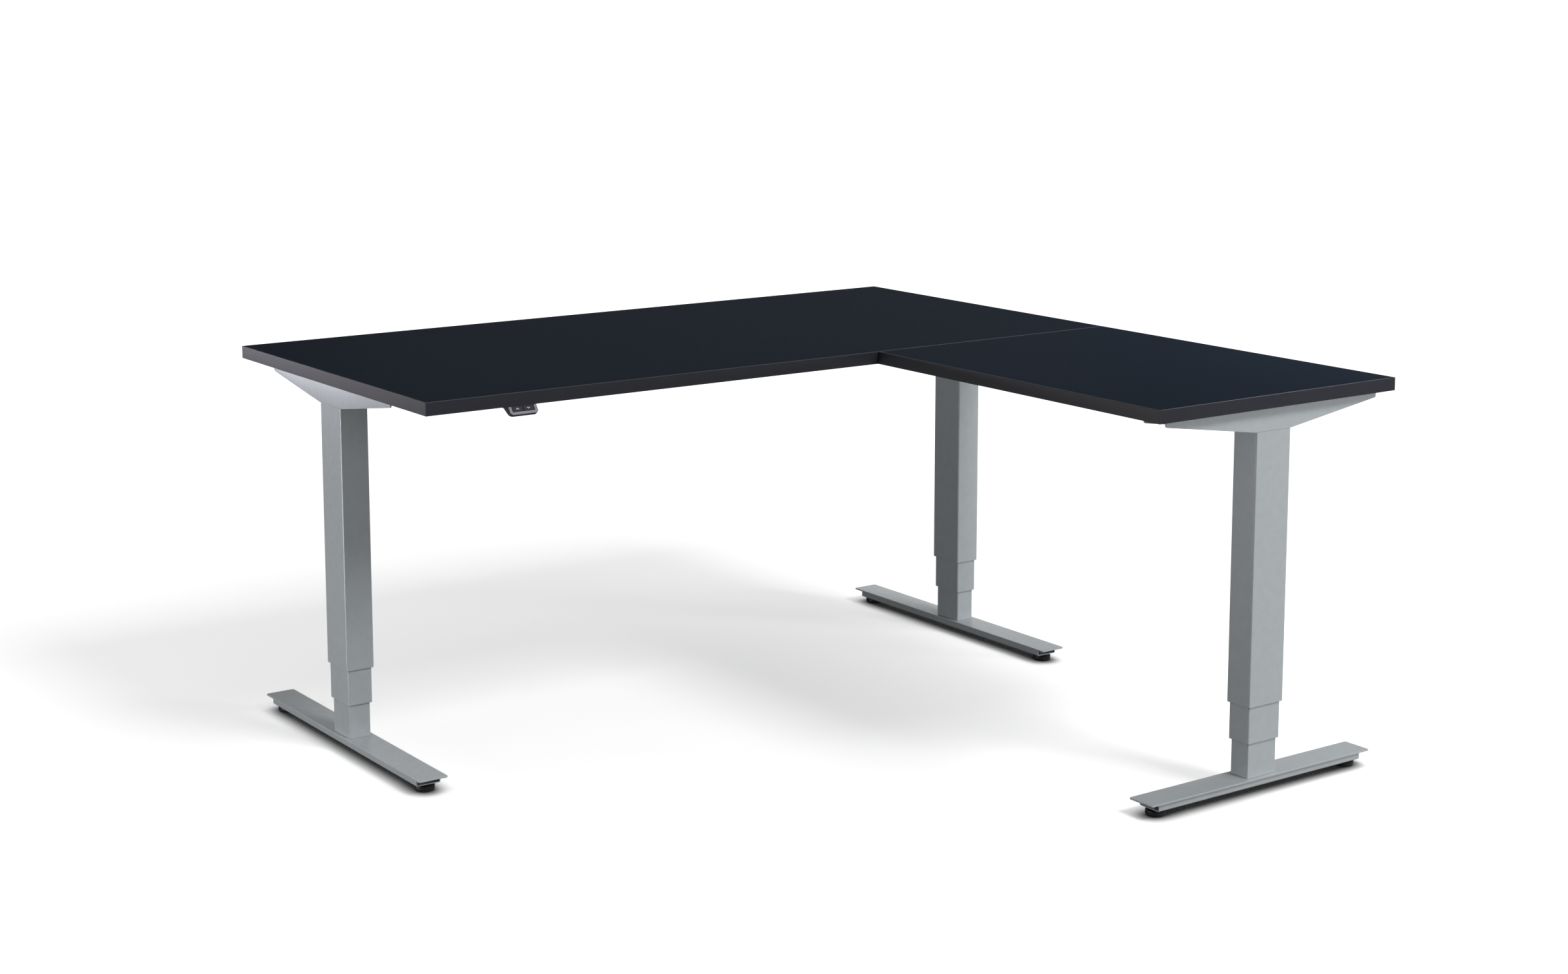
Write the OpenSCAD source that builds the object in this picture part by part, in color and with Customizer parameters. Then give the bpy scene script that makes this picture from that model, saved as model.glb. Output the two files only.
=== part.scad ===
// Height adjustable corner desk: a main board and a return board on three telescopic legs.
// Millimetres, +Z up. The origin is on the floor, under the middle of the desk's outline.
// X runs along the main board, left to right, and the return board points towards -Y.

/* [Boards] */
// Width of the main board, left to right
main_w = 1600; // [1500:10:1800]
// Depth of the main board, front to back
main_d = 800; // [780:10:900]
// Length of the return board, from the main board's front edge
return_l = 800; // [700:10:1000]
// Width of the return board
return_w = 600; // [590:10:700]
// Thickness of both boards
board_t = 25; // [22:1:30]
// Thickness of the edge banding
band_t = 2; // [1:0.5:3]
// Height of the boards' upper face as modelled
desk_h = 750; // [748:1:754]
// Gap between the two boards at the seam
seam_gap = 0.6; // [0.2:0.1:1]

/* [Legs] */
// Outer tube, short side
outer_w = 57; // [55:1:59]
// Outer tube, long side
outer_d = 87; // [84:1:90]
// Difference between one tube and the next, over both walls
tube_step = 7; // [6.8:0.1:7.6]
// Wall thickness of the three tubes
wall = 1.8; // [1.5:0.1:2]
// Radius of the tubes' vertical edges
tube_r = 2.5; // [2.1:0.1:4]
// Height of the outer tube's lower end above the floor
outer_bottom = 168; // [162:1:180]
// Height of the middle tube's lower end above the floor
mid_bottom = 98; // [97:0.5:110]
// Height of the middle tube's upper end
mid_top = 539; // [510:1:540]
// Height of the inner tube's upper end
inner_top = 442; // [410:1:443]
// Distance from a board's end to the middle of the leg beside it
leg_inset = 46; // [40:1:48]
// Distance from the main board's front edge to its two legs
leg_back = 430; // [400:1:440]

/* [Brackets] */
// Depth of a bracket at its column
bracket_h = 45; // [40:1:60]
// Depth of a bracket at its two ends
bracket_end_h = 12; // [8:1:20]
// Reach of the main board's brackets, from the column's middle
main_arm = 255; // [200:1:290]
// Reach of the return board's bracket, from the column's middle
return_arm = 268; // [200:1:280]
// Thickness of the folded sheet
bracket_t = 3; // [2:0.5:4]

/* [Feet] */
// Length of the two feet under the main board
main_foot_l = 680; // [600:5:760]
// Length of the foot under the return board
return_foot_l = 565; // [500:5:590]
// Width of a foot's top plate
foot_w = 60; // [56:1:80]
// Thickness of a foot's top plate
foot_t = 3; // [3:0.5:5]
// Height of a foot's upper face above the floor
foot_top = 31; // [30:1:34]
// Width of the channel under the plate
channel_w = 50; // [44:1:54]
// Underside of the channel above the floor
channel_z = 14; // [13:0.5:15]
// Distance from the plate's end to the channel's end
channel_inset = 22; // [15:1:30]
// Distance from the plate's end to the glide's centre
glide_inset = 37.5; // [34:0.5:60]
// Radius of a glide's disc
glide_r = 19; // [15:1:20]

/* [Handset] */
// Distance from the main board's left end to the handset's middle
handset_x = 193; // [150:1:300]
// Width of the handset
handset_w = 58; // [56:1:70]

/* [Hidden] */
$fn = 48;

// Outline of the desk
left_x = -main_w / 2;
right_x = main_w / 2;
seam_y = (return_l - main_d) / 2;
front_y = seam_y - return_l;
return_x = right_x - return_w;
under_z = desk_h - board_t;

// Legs: place of each column, and the turn that lays its long side along its foot
left_leg = [left_x + leg_inset, seam_y + leg_back, 0];
middle_leg = [right_x - leg_inset, seam_y + leg_back, 0];
right_leg = [right_x - return_w / 2, front_y + leg_inset, 0];
right_turn = 90;

// Tubes
outer_size = [outer_w, outer_d];
outer_in = outer_size - [2 * wall, 2 * wall];
mid_size = outer_size - [tube_step, tube_step];
mid_in = mid_size - [2 * wall, 2 * wall];
inner_size = mid_size - [tube_step, tube_step];
inner_in = inner_size - [2 * wall, 2 * wall];
bracket_z = under_z - bracket_h;
outer_top = bracket_z - 0.3;
web_z = under_z - bracket_t;
glide_gap = 0.3;

// Drive: motor and gearbox hang in the head, with the screws below them
drive_r = 23;
head_z = 650;
gear_z = 610;
screw_r = 6;
hollow_r = 10;
run_fit = 0.05;
upper_screw_z = 262;
lower_screw_z = 160;
collar_r = 13.8;
flange_t = 4;
sleeve_l = 44;
block_l = 26;
pocket_z = mid_top - block_l;
thrust_z = pocket_z + 18;

// Screws
m6_r = 3;
head_screws_at = [for (sx = [-1, 1], sy = [-1, 1]) [16 * sx, 32 * sy]];
foot_screws_at = [for (sx = [-1, 1], sy = [-1, 1]) [12 * sx, 26 * sy]];
wood_r = 2.25;
wood_hole_r = 2.75;
plate_screws_at = [for (sx = [-1, 1], sy = [-1, 1]) [45 * sx, 30 * sy]];

// Beams under the boards
beam_z = under_z - 25;
beam_h = 22;
beam_w = 60;
beam_wall = 2;
return_beam_w = 50;
beam_left = -420;
beam_right = 560;
rail_lap = 120;
end_plate_t = 4;
joining_x = [return_x + 100, return_x + 490];
joining_size = [120, 100, 3];

// Control box
beam_y = left_leg[1];
box_at = [-420, beam_y + 70];
box_size = [260, 110];
box_z = under_z - 38;
box_wall = 2;
lid_z = under_z - 2;
board_z = box_z + 7;
plug_z = box_z + 13;
plug_size = [12, 14, 8];
plug_x = [-390, -360, -330, -300];
inlet_size = [27.6, 19.6];
inlet_recess = [24, 16, 15];
inlet_y = box_at[1] + 30;
inlet_z = box_z + 18;
box_end = box_at[0] + box_size[0];

// Handset: its face slopes down and forward from the board's lower front edge
handset_at = [left_x + handset_x, seam_y, under_z];
face_drop = 12.7;
face_run = 9.5;
face_tilt = atan2(face_drop, face_run);
face_l = norm([face_drop, face_run]);
lip = 1.5;
nose_r = 7;
nose_bottom = [-5.5, -17.6];
case_ramp = 17;
case_back = 60;
case_t = 4.4;
rim_w = 5;
rim_t = 1.2;
key_t = 2.3;
key_gap = 0.4;
key_proud = 0.2;
key_pocket = 4.5;
key_w = handset_w / 2 - rim_w - 1.5;
key_l = face_l - rim_w - 1;

// Leads: radius and hand-laid routes, each from its motor or handset to its plug.
// A route's points are [x, y, depth under the boards].
motor_lead_r = 2.5;
handset_lead_r = 1.75;
hole_z = under_z - 33;
// From a column's middle: inwards, sideways, depth
way_out = [[24, 0, 33], [40, 0, 33], [51, 4, 32], [60, 20, 31], [66, 33, 29], [70, 37, 21],
    [74, 38, 11], [82, 38, 5], [91, 38, 4], [106, 38, 4]];
// Past the beams' crossing, from the return board's leg in x and from the beam in y
crossing = [[38, -80, 4], [38, -60, 4], [38, -49, 7], [38, -42, 17], [38, -38, 27], [38, -30, 31],
    [38, 0, 31], [37, 28, 31], [34, 37, 27], [30, 43, 16], [22, 46, 6], [4, 47, 4], [-16, 47, 4]];
// Under the beam, from the handset in x and from the beam in y
under_beam = [[0, -70, 3], [0, -55, 3], [0, -45, 7], [0, -39, 17], [0, -34, 27], [0, -25, 30],
    [0, 0, 30], [0, 25, 30], [2, 37, 26], [6, 46, 15], [14, 53, 6], [30, 55, 3], [50, 55, 3]];
function lay(points, x = 0) = [for (p = points) [x + p[0], beam_y + p[1], under_z - p[2]]];
left_route = concat(
    [for (p = way_out) left_leg + [p[0], p[1], under_z - p[2]]],
    lay([[-430, 38, 4], [-405, 38, 4], [-394, 38, 5], [-390, 40, 15], [-390, 44, 24],
        [-390, 50, 25], [-390, 59, 25]]));
middle_route = concat(
    [for (p = way_out) middle_leg + [-p[0], p[1], under_z - p[2]]],
    lay([[-320, 38, 4], [-350, 38, 4], [-357, 38, 6], [-360, 40, 15], [-360, 44, 24],
        [-360, 50, 25], [-360, 59, 25]]));
right_route = concat(
    [for (p = way_out) right_leg + [p[1], p[0], under_z - p[2]]],
    lay(crossing, right_leg[0]),
    lay([[-295, 47, 4], [-320, 47, 4], [-327, 47, 6], [-330, 47, 14], [-330, 48, 23],
        [-330, 52, 25], [-330, 59, 25]]));
handset_route = concat(
    [for (y = [0, 10, 70]) handset_at + [0, case_back + y, -case_t / 2]],
    lay(under_beam, handset_at[0]),
    lay([[-330, 55, 3], [-312, 55, 4], [-303, 54, 9], [-300, 52, 17], [-300, 52, 23],
        [-300, 54, 25], [-300, 59, 25]]));

paint = [0.63, 0.66, 0.67];
board_colour = [0.10, 0.12, 0.15];

// ---- Shapes that repeat ----

// Rectangle with true round corners
module rounded(size, r) {
    square([size[0] - 2 * r, size[1]], center = true);
    square([size[0], size[1] - 2 * r], center = true);
    for (sx = [-1, 1], sy = [-1, 1])
        translate([sx * (size[0] / 2 - r), sy * (size[1] / 2 - r)])
            circle(r);
}

// Upright rectangular tube between two heights
module tube(size, z0, z1) {
    translate([0, 0, z0])
        linear_extrude(z1 - z0)
            difference() {
                rounded(size, tube_r);
                rounded(size - [2 * wall, 2 * wall], tube_r - wall + 0.2);
            }
}

// Rectangular tube lying along Y
module lying_tube(w, h, l, t) {
    difference() {
        translate([-w / 2, 0, 0])
            cube([w, l, h]);
        translate([t - w / 2, -1, t])
            cube([w - 2 * t, l + 2, h - 2 * t]);
    }
}

// Moves a leg's piece, drawn at the origin, to one of the three legs
module at_left() translate(left_leg) children();
module at_middle() translate(middle_leg) mirror([1, 0, 0]) children();
module at_right() translate(right_leg) rotate(right_turn) mirror([0, 1, 0]) children();

// Corner cutting that rounds a route's bends
function between(a, b, t) = (1 - t) * a + t * b;
function cut(p) = [p[0],
    for (i = [0:len(p) - 2], t = [0.25, 0.75]) between(p[i], p[i + 1], t),
    p[len(p) - 1]];
function unit(v) = v / norm(v);
function tangent(p, i) = unit(p[min(i + 1, len(p) - 1)] - p[max(i - 1, 0)]);
// Side vectors carried along the route without twisting
function sides(p, i, n) = i >= len(p) ? [] :
    let (t = tangent(p, i), s = unit(n - (n * t) * t)) concat([s], sides(p, i + 1, s));

// Round lead swept along a route
module lead(route, r) {
    facets = 8;
    p = cut(route);
    n = sides(p, 0, [0.1, 0.2, 1]);
    rings = [for (i = [0:len(p) - 1]) let (b = cross(tangent(p, i), n[i]))
        for (k = [0:facets - 1]) p[i] + r * (cos(360 * k / facets) * n[i] + sin(360 * k / facets) * b)];
    last = (len(p) - 1) * facets;
    faces = [[for (k = [0:facets - 1]) k], [for (k = [facets - 1:-1:0]) last + k],
        for (i = [0:len(p) - 2], k = [0:facets - 1]) let (a = i * facets, q = (k + 1) % facets)
            [a + k, a + facets + k, a + facets + q, a + q]];
    polyhedron(rings, faces, convexity = 10);
}

// ---- Boards ----

module main_top() {
    color(board_colour)
        translate([left_x + band_t, seam_y + seam_gap / 2 + band_t, under_z])
            cube([main_w - 2 * band_t, main_d - seam_gap / 2 - 2 * band_t, board_t]);
}

module return_top() {
    color(board_colour)
        translate([return_x + band_t, front_y + band_t, under_z])
            cube([return_w - 2 * band_t, return_l - seam_gap / 2 - 2 * band_t, board_t]);
}

// Four strips round one board: the front and back strips run over the ends of the other two
module bands(x, y, w, d) {
    translate([x, y, under_z])
        cube([w, band_t, board_t]);
    translate([x, y + d - band_t, under_z])
        cube([w, band_t, board_t]);
    translate([x, y + band_t, under_z])
        cube([band_t, d - 2 * band_t, board_t]);
    translate([x + w - band_t, y + band_t, under_z])
        cube([band_t, d - 2 * band_t, board_t]);
}

module edge_bands() {
    color([0.16, 0.16, 0.18]) {
        bands(left_x, seam_y + seam_gap / 2, main_w, main_d - seam_gap / 2);
        bands(return_x, front_y, return_w, return_l - seam_gap / 2);
    }
}

// ---- Brackets: a folded channel with its web under the board ----

module bracket(arm) {
    flat = outer_size[1] / 2 + 2;
    color(paint)
        difference() {
            translate([-outer_size[0] / 2, 0, 0])
                rotate([90, 0, 90])
                    linear_extrude(outer_size[0])
                        polygon([[-arm, under_z], [-arm, under_z - bracket_end_h], [-flat, bracket_z],
                            [flat, bracket_z], [arm, under_z - bracket_end_h], [arm, under_z]]);
            translate([bracket_t - outer_size[0] / 2, -arm - 1, bracket_z - 1])
                cube([outer_size[0] - 2 * bracket_t, 2 * arm + 2, web_z - bracket_z + 1]);
            for (p = head_screws_at)
                translate([p[0], p[1], web_z - 1]) {
                    cylinder(r = m6_r + run_fit, h = bracket_t + 2);
                    translate([0, 0, 1])
                        cylinder(r1 = m6_r + 0.2, r2 = 2 * m6_r + 0.3, h = bracket_t + 0.01);
                }
            for (y = bracket_screws(arm))
                translate([0, y, web_z - 1])
                    cylinder(r = wood_hole_r, h = bracket_t + 2);
            translate([outer_size[0] / 2 - bracket_t - 1, 0, hole_z])
                rotate([0, 90, 0])
                    cylinder(r = motor_lead_r + 2, h = bracket_t + 2);
        }
}

function bracket_screws(arm) = [-arm + 25, -arm + 120, arm - 120, arm - 25];

module left_bracket() at_left() bracket(main_arm);
module middle_bracket() at_middle() bracket(main_arm);
module right_bracket() at_right() bracket(return_arm);

// ---- Column heads: castings that plug into the outer tubes and hold the drives ----

module head() {
    slack = 0.2;
    color([0.45, 0.46, 0.48])
        difference() {
            union() {
                translate([0, 0, head_z])
                    linear_extrude(outer_top - head_z)
                        rounded(outer_in - [slack, slack], 1);
                translate([0, 0, outer_top - 0.01])
                    linear_extrude(web_z - outer_top + 0.01)
                        rounded([outer_size[0] - 2 * bracket_t - 2 * slack, outer_size[1] - 4], 1);
            }
            translate([0, 0, head_z - 1])
                cylinder(r = drive_r + 0.5, h = web_z - 5 - head_z + 1);
            for (p = head_screws_at)
                translate([p[0], p[1], web_z - 16])
                    cylinder(r = m6_r + run_fit, h = 17);
            translate([drive_r - 1, 0, hole_z])
                rotate([0, 90, 0])
                    cylinder(r = motor_lead_r + 2, h = 8);
        }
}

module left_head() at_left() head();
module middle_head() at_middle() head();
module right_head() at_right() head();

// ---- Drives: an inline motor on a planetary gearbox with a mounting plate ----

module drive() {
    gear_l = 55;
    motor_l = 46;
    plate_t = 4;
    motor_z = gear_z + gear_l + 0.2;
    color([0.30, 0.31, 0.33]) {
        difference() {
            union() {
                translate([0, 0, gear_z])
                    cylinder(r = drive_r, h = gear_l);
                translate([0, 0, head_z - plate_t])
                    linear_extrude(plate_t)
                        rounded(outer_in - [0.4, 0.4], 1);
            }
            translate([0, 0, gear_z - 1])
                cylinder(r = screw_r - 1 + run_fit, h = 15);
        }
        translate([0, 0, motor_z])
            cylinder(r = drive_r - 1, h = motor_l);
        translate([0, 0, motor_z + motor_l])
            cylinder(r = 8, h = 4);
    }
}

module left_drive() at_left() drive();
module middle_drive() at_middle() drive();
module right_drive() at_right() drive();

// ---- Tubes ----

module outer_tube() color(paint) tube(outer_size, outer_bottom, outer_top);
module left_outer_tube() at_left() outer_tube();
module middle_outer_tube() at_middle() outer_tube();
module right_outer_tube() at_right() outer_tube();

module mid_tube() color(paint) tube(mid_size, mid_bottom, mid_top);
module left_mid_tube() at_left() mid_tube();
module middle_mid_tube() at_middle() mid_tube();
module right_mid_tube() at_right() mid_tube();

// The inner tube ends in a welded base block with four threaded holes
module inner_tube() {
    color(paint)
        difference() {
            union() {
                tube(inner_size, foot_top, inner_top);
                translate([0, 0, foot_top])
                    linear_extrude(6)
                        square(inner_in + [0.4, 0.4], center = true);
            }
            for (p = foot_screws_at)
                translate([p[0], p[1], foot_top - 1])
                    cylinder(r = m6_r + run_fit, h = 8);
        }
}
module left_inner_tube() at_left() inner_tube();
module middle_inner_tube() at_middle() inner_tube();
module right_inner_tube() at_right() inner_tube();

// ---- Guides: plastic caps on a tube's top that slide in the next tube and hold the nut ----

module guide(size, inside, around, top) {
    translate([0, 0, top])
        linear_extrude(flange_t)
            rounded(around - [2 * glide_gap, 2 * glide_gap], 1.2);
    translate([0, 0, top - block_l])
        linear_extrude(block_l + 0.01)
            rounded(inside - [0.2, 0.2], 0.6);
    translate([0, 0, top - sleeve_l])
        linear_extrude(sleeve_l + 0.01)
            difference() {
                rounded(around - [2 * glide_gap, 2 * glide_gap], 1.2);
                rounded(size + [0.1, 0.1], tube_r);
            }
}

module mid_guide() {
    color([0.12, 0.12, 0.13])
        difference() {
            guide(mid_size, mid_in, outer_in, mid_top);
            translate([0, 0, pocket_z - 1])
                cylinder(r = collar_r + 0.4, h = thrust_z - pocket_z + 1);
            translate([0, 0, pocket_z - 1])
                cylinder(r = screw_r + run_fit, h = block_l + flange_t + 2);
        }
}
module left_mid_guide() at_left() mid_guide();
module middle_mid_guide() at_middle() mid_guide();
module right_mid_guide() at_right() mid_guide();

module inner_guide() {
    color([0.85, 0.84, 0.80])
        difference() {
            guide(inner_size, inner_in, mid_in, inner_top);
            translate([0, 0, inner_top - block_l - 1])
                cylinder(r = hollow_r + run_fit, h = block_l + flange_t + 2);
        }
}
module left_inner_guide() at_left() inner_guide();
module middle_inner_guide() at_middle() inner_guide();
module right_inner_guide() at_right() inner_guide();

// ---- Screws that lift the tubes ----

// Turned by the gearbox; runs through the middle tube's nut and inside the hollow screw
module upper_screw() {
    color([0.72, 0.73, 0.75]) {
        translate([0, 0, upper_screw_z])
            cylinder(r = screw_r, h = gear_z - 0.3 - upper_screw_z);
        translate([0, 0, gear_z - 0.31])
            cylinder(r = screw_r - 1, h = 13);
    }
}
module left_upper_screw() at_left() upper_screw();
module middle_upper_screw() at_middle() upper_screw();
module right_upper_screw() at_right() upper_screw();

// Its collar pushes up on the middle tube's guide; its thread runs in the inner tube's nut
module lower_screw() {
    color([0.72, 0.73, 0.75])
        difference() {
            union() {
                translate([0, 0, lower_screw_z])
                    cylinder(r = hollow_r, h = thrust_z - 0.3 - lower_screw_z);
                translate([0, 0, pocket_z + 2])
                    cylinder(r = collar_r, h = thrust_z - 0.3 - pocket_z - 2);
            }
            translate([0, 0, lower_screw_z - 1])
                cylinder(r = screw_r + 0.5, h = thrust_z - lower_screw_z + 2);
        }
}
module left_lower_screw() at_left() lower_screw();
module middle_lower_screw() at_middle() lower_screw();
module right_lower_screw() at_right() lower_screw();

// ---- Feet: a flat plate welded on a folded channel, with a weld nut for each glide ----

module foot(l) {
    channel_l = l - 2 * channel_inset;
    nut_h = 5;
    sheet = 2;
    color(paint)
        difference() {
            union() {
                translate([0, 0, foot_top - foot_t])
                    linear_extrude(foot_t)
                        rounded([foot_w, l], 4);
                difference() {
                    translate([-channel_w / 2, -channel_l / 2, channel_z])
                        cube([channel_w, channel_l, foot_top - foot_t - channel_z + 0.01]);
                    translate([sheet - channel_w / 2, -channel_l / 2 - 1, channel_z + sheet])
                        cube([channel_w - 2 * sheet, channel_l + 2, foot_top]);
                }
                for (s = [-1, 1])
                    translate([0, s * (l / 2 - glide_inset), channel_z + sheet - 0.01])
                        cylinder(r = 7, h = nut_h);
            }
            for (s = [-1, 1])
                translate([0, s * (l / 2 - glide_inset), channel_z - 1])
                    cylinder(r = 4 + run_fit, h = nut_h + sheet + 2);
            for (p = foot_screws_at)
                translate([p[0], p[1], 0]) {
                    translate([0, 0, foot_top - foot_t - 1])
                        cylinder(r = m6_r + 0.3, h = foot_t + 2);
                    translate([0, 0, channel_z - 1])
                        cylinder(r = 7, h = sheet + 2);
                }
        }
}
module left_foot() at_left() foot(main_foot_l);
module middle_foot() at_middle() foot(main_foot_l);
module right_foot() at_right() foot(return_foot_l);

// Levelling glide: a round disc on a threaded stud
module glide(l, s) {
    disc_h = 12;
    edge_r = 5;
    translate([0, s * (l / 2 - glide_inset), 0])
        color([0.05, 0.05, 0.055]) {
            rotate_extrude() {
                square([glide_r - edge_r, disc_h]);
                translate([0, edge_r])
                    square([glide_r, disc_h - edge_r]);
                intersection() {
                    translate([glide_r - edge_r, edge_r])
                        circle(edge_r);
                    square([glide_r, edge_r]);
                }
            }
            translate([0, 0, disc_h - 0.01])
                cylinder(r = 4, h = 12);
        }
}
module left_front_glide() at_left() glide(main_foot_l, -1);
module left_back_glide() at_left() glide(main_foot_l, 1);
module middle_front_glide() at_middle() glide(main_foot_l, -1);
module middle_back_glide() at_middle() glide(main_foot_l, 1);
module right_inner_glide() at_right() glide(return_foot_l, -1);
module right_outer_glide() at_right() glide(return_foot_l, 1);

// ---- Beams ----

module main_beam() {
    color(paint)
        translate([beam_right, left_leg[1], beam_z])
            rotate(90)
                lying_tube(beam_w, beam_h, beam_right - beam_left, beam_wall);
}

// A rail and its end plate, from the sleeve to a bracket
module rail(x_in, x_out) {
    fit = 0.2;
    s = sign(x_out - x_in);
    l = abs(x_out - x_in) - end_plate_t;
    w = beam_w - 2 * beam_wall - 2 * fit;
    h = beam_h - 2 * beam_wall - 2 * fit;
    translate([x_in, left_leg[1], beam_z + beam_wall + fit])
        rotate(-90 * s)
            lying_tube(w, h, l + 0.01, beam_wall);
    translate([s > 0 ? x_out - end_plate_t : x_out, left_leg[1] - beam_w / 2, beam_z])
        cube([end_plate_t, beam_w, beam_h]);
}

module main_beam_rails() {
    color(paint) {
        rail(beam_left + rail_lap, left_leg[0] + outer_size[0] / 2);
        rail(beam_right - rail_lap, middle_leg[0] - outer_size[0] / 2);
    }
}

module return_beam() {
    y0 = right_leg[1] + outer_size[0] / 2;
    y1 = left_leg[1] - beam_w / 2;
    color(paint) {
        translate([right_leg[0], y0 + end_plate_t - 0.01, beam_z])
            lying_tube(return_beam_w, beam_h, y1 - y0 - 2 * end_plate_t + 0.02, beam_wall);
        for (y = [y0, y1 - end_plate_t])
            translate([right_leg[0] - return_beam_w / 2, y, beam_z])
                cube([return_beam_w, end_plate_t, beam_h]);
    }
}

module joining_plates() {
    color([0.55, 0.57, 0.58])
        for (x = joining_x)
            translate([x, seam_y, under_z - joining_size[2]])
                difference() {
                    translate([-joining_size[0] / 2, -joining_size[1] / 2, 0])
                        cube(joining_size);
                    for (p = plate_screws_at)
                        translate([p[0], p[1], -1])
                            cylinder(r = wood_hole_r, h = joining_size[2] + 2);
                }
}

// ---- Control box ----

module control_box_case() {
    color([0.14, 0.14, 0.15]) {
        difference() {
            translate([box_at[0], box_at[1], box_z])
                cube([box_size[0], box_size[1], lid_z - box_z]);
            translate([box_at[0] + box_wall, box_at[1] + box_wall, box_z + box_wall])
                cube([box_size[0] - 2 * box_wall, box_size[1] - 2 * box_wall, lid_z]);
            for (x = plug_x)
                translate([x - plug_size[0] / 2 - 0.3, box_at[1] - 1, plug_z - plug_size[2] / 2 - 0.3])
                    cube([plug_size[0] + 0.6, box_wall + 2, plug_size[2] + 0.6]);
            translate([box_end, inlet_y, inlet_z])
                cube([2 * box_wall + 2, inlet_size[0] + 0.4, inlet_size[1] + 0.4], center = true);
        }
        for (x = [box_at[0] + 14, box_end - 40], y = [box_at[1] + 14, box_at[1] + box_size[1] - 14])
            translate([x, y, box_z + box_wall - 0.01])
                cylinder(r = 4, h = board_z - box_z - box_wall + 0.01);
    }
}

module control_box_lid() {
    color([0.14, 0.14, 0.15])
        translate([box_at[0], box_at[1], lid_z])
            cube([box_size[0], box_size[1], under_z - lid_z]);
}

module control_board() {
    top = board_z + 1.6;
    color([0.10, 0.35, 0.20])
        translate([box_at[0] + 4, box_at[1] + 22, board_z])
            cube([box_size[0] - 32, box_size[1] - 26, 1.6]);
    color([0.70, 0.62, 0.30])
        translate([box_at[0] + 120, box_at[1] + 45, top - 0.01])
            cube([60, 48, 22]);
    color([0.2, 0.2, 0.25])
        for (x = [20, 45, 70])
            translate([box_at[0] + x, box_at[1] + 80, top - 0.01])
                cylinder(r = 9, h = 22);
    color([0.8, 0.8, 0.8])
        for (x = [20, 45, 70, 95])
            translate([box_at[0] + x, box_at[1] + 40, top - 0.01])
                cube([12, 16, 14]);
}

// Recessed inlet with three blades, its flange outside the case
module mains_inlet() {
    flange = 2;
    body_l = 20;
    blade = [10, 2, 4];
    face_x = box_end + flange;
    color([0.08, 0.08, 0.08])
        difference() {
            union() {
                translate([face_x - body_l / 2, inlet_y, inlet_z])
                    cube([body_l, inlet_size[0], inlet_size[1]], center = true);
                translate([box_end + flange / 2, inlet_y, inlet_z])
                    cube([flange, inlet_size[0] + 4, inlet_size[1] + 4], center = true);
            }
            translate([face_x, inlet_y, inlet_z])
                cube([2 * inlet_recess[2], inlet_recess[0], inlet_recess[1]], center = true);
        }
    color([0.8, 0.7, 0.4])
        for (p = [[-7, -2], [7, -2], [0, 3]])
            translate([face_x - inlet_recess[2] + blade[0] / 2 - 1, inlet_y + p[0], inlet_z + p[1]])
                cube(blade, center = true);
}

// ---- Handset ----

// Moves to the handset's sloping face: +Y runs up the slope, +Z is out of the face
module on_face() {
    translate(handset_at)
        rotate([face_tilt, 0, 0])
            children();
}

// Plan of the face, with round corners at the nose, between an inset and the board's edge
module face_plan(inset, back) {
    w = handset_w - 2 * inset;
    r = nose_r - inset;
    y0 = inset - face_l - lip;
    translate([-w / 2, y0 + r])
        square([w, back - y0 - r]);
    translate([r - w / 2, y0])
        square([w - 2 * r, back - y0]);
    for (s = [-1, 1])
        translate([s * (w / 2 - r), y0 + r])
            circle(r);
}

module handset_case() {
    color([0.09, 0.09, 0.10])
        difference() {
            intersection() {
                translate(handset_at - [handset_w / 2, 0, 0])
                    rotate([90, 0, 90])
                        linear_extrude(handset_w)
                            polygon([[0, 0], (1 + lip / face_l) * [-face_run, -face_drop], nose_bottom,
                                [case_ramp, -case_t], [case_back, -case_t], [case_back, 0]]);
                on_face()
                    translate([0, 0, -60])
                        linear_extrude(100)
                            face_plan(0, 90);
            }
            on_face()
                translate([0, 0, -rim_t])
                    linear_extrude(10)
                        difference() {
                            face_plan(0.8, -0.4);
                            face_plan(rim_w + 0.8, 1);
                        }
            on_face()
                translate([-key_w, rim_w - 0.2 - face_l, -key_pocket])
                    cube([2 * key_w, key_l + 0.8, 10]);
        }
}

// Light band round the two sides and the nose of the face
module handset_rim() {
    color([0.78, 0.79, 0.80])
        on_face()
            translate([0, 0, -rim_t])
                linear_extrude(rim_t + 0.5)
                    difference() {
                        face_plan(0.9, -0.5);
                        face_plan(rim_w + 0.7, 1);
                    }
}

module handset_board() {
    color([0.10, 0.35, 0.20])
        on_face()
            translate([0.2 - key_w, rim_w - face_l, -key_pocket])
                cube([2 * key_w - 0.4, key_l + 0.4, 1]);
}

module key(x) {
    color([0.10, 0.10, 0.12])
        on_face()
            translate([x + key_gap, rim_w + 0.2 - face_l, key_proud - key_t])
                cube([key_w - 2 * key_gap, key_l, key_t]);
}
module up_button() key(-key_w);
module down_button() key(0);

// ---- Leads and their plugs ----

module plug(x) {
    translate([x - plug_size[0] / 2, box_at[1] + box_wall - plug_size[1], plug_z - plug_size[2] / 2])
        cube(plug_size);
}

module motor_leads() {
    color([0.07, 0.07, 0.08]) {
        lead(left_route, motor_lead_r);
        lead(middle_route, motor_lead_r);
        lead(right_route, motor_lead_r);
        for (i = [0:2])
            plug(plug_x[i]);
    }
}

module handset_lead() {
    color([0.07, 0.07, 0.08]) {
        lead(handset_route, handset_lead_r);
        plug(plug_x[3]);
    }
}

// ---- Fasteners ----

module wood_screw() {
    translate([0, 0, web_z - 2.4])
        cylinder(r = 4.2, h = 2.4);
    translate([0, 0, web_z - 0.01])
        cylinder(r = wood_r, h = 18);
}

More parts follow.
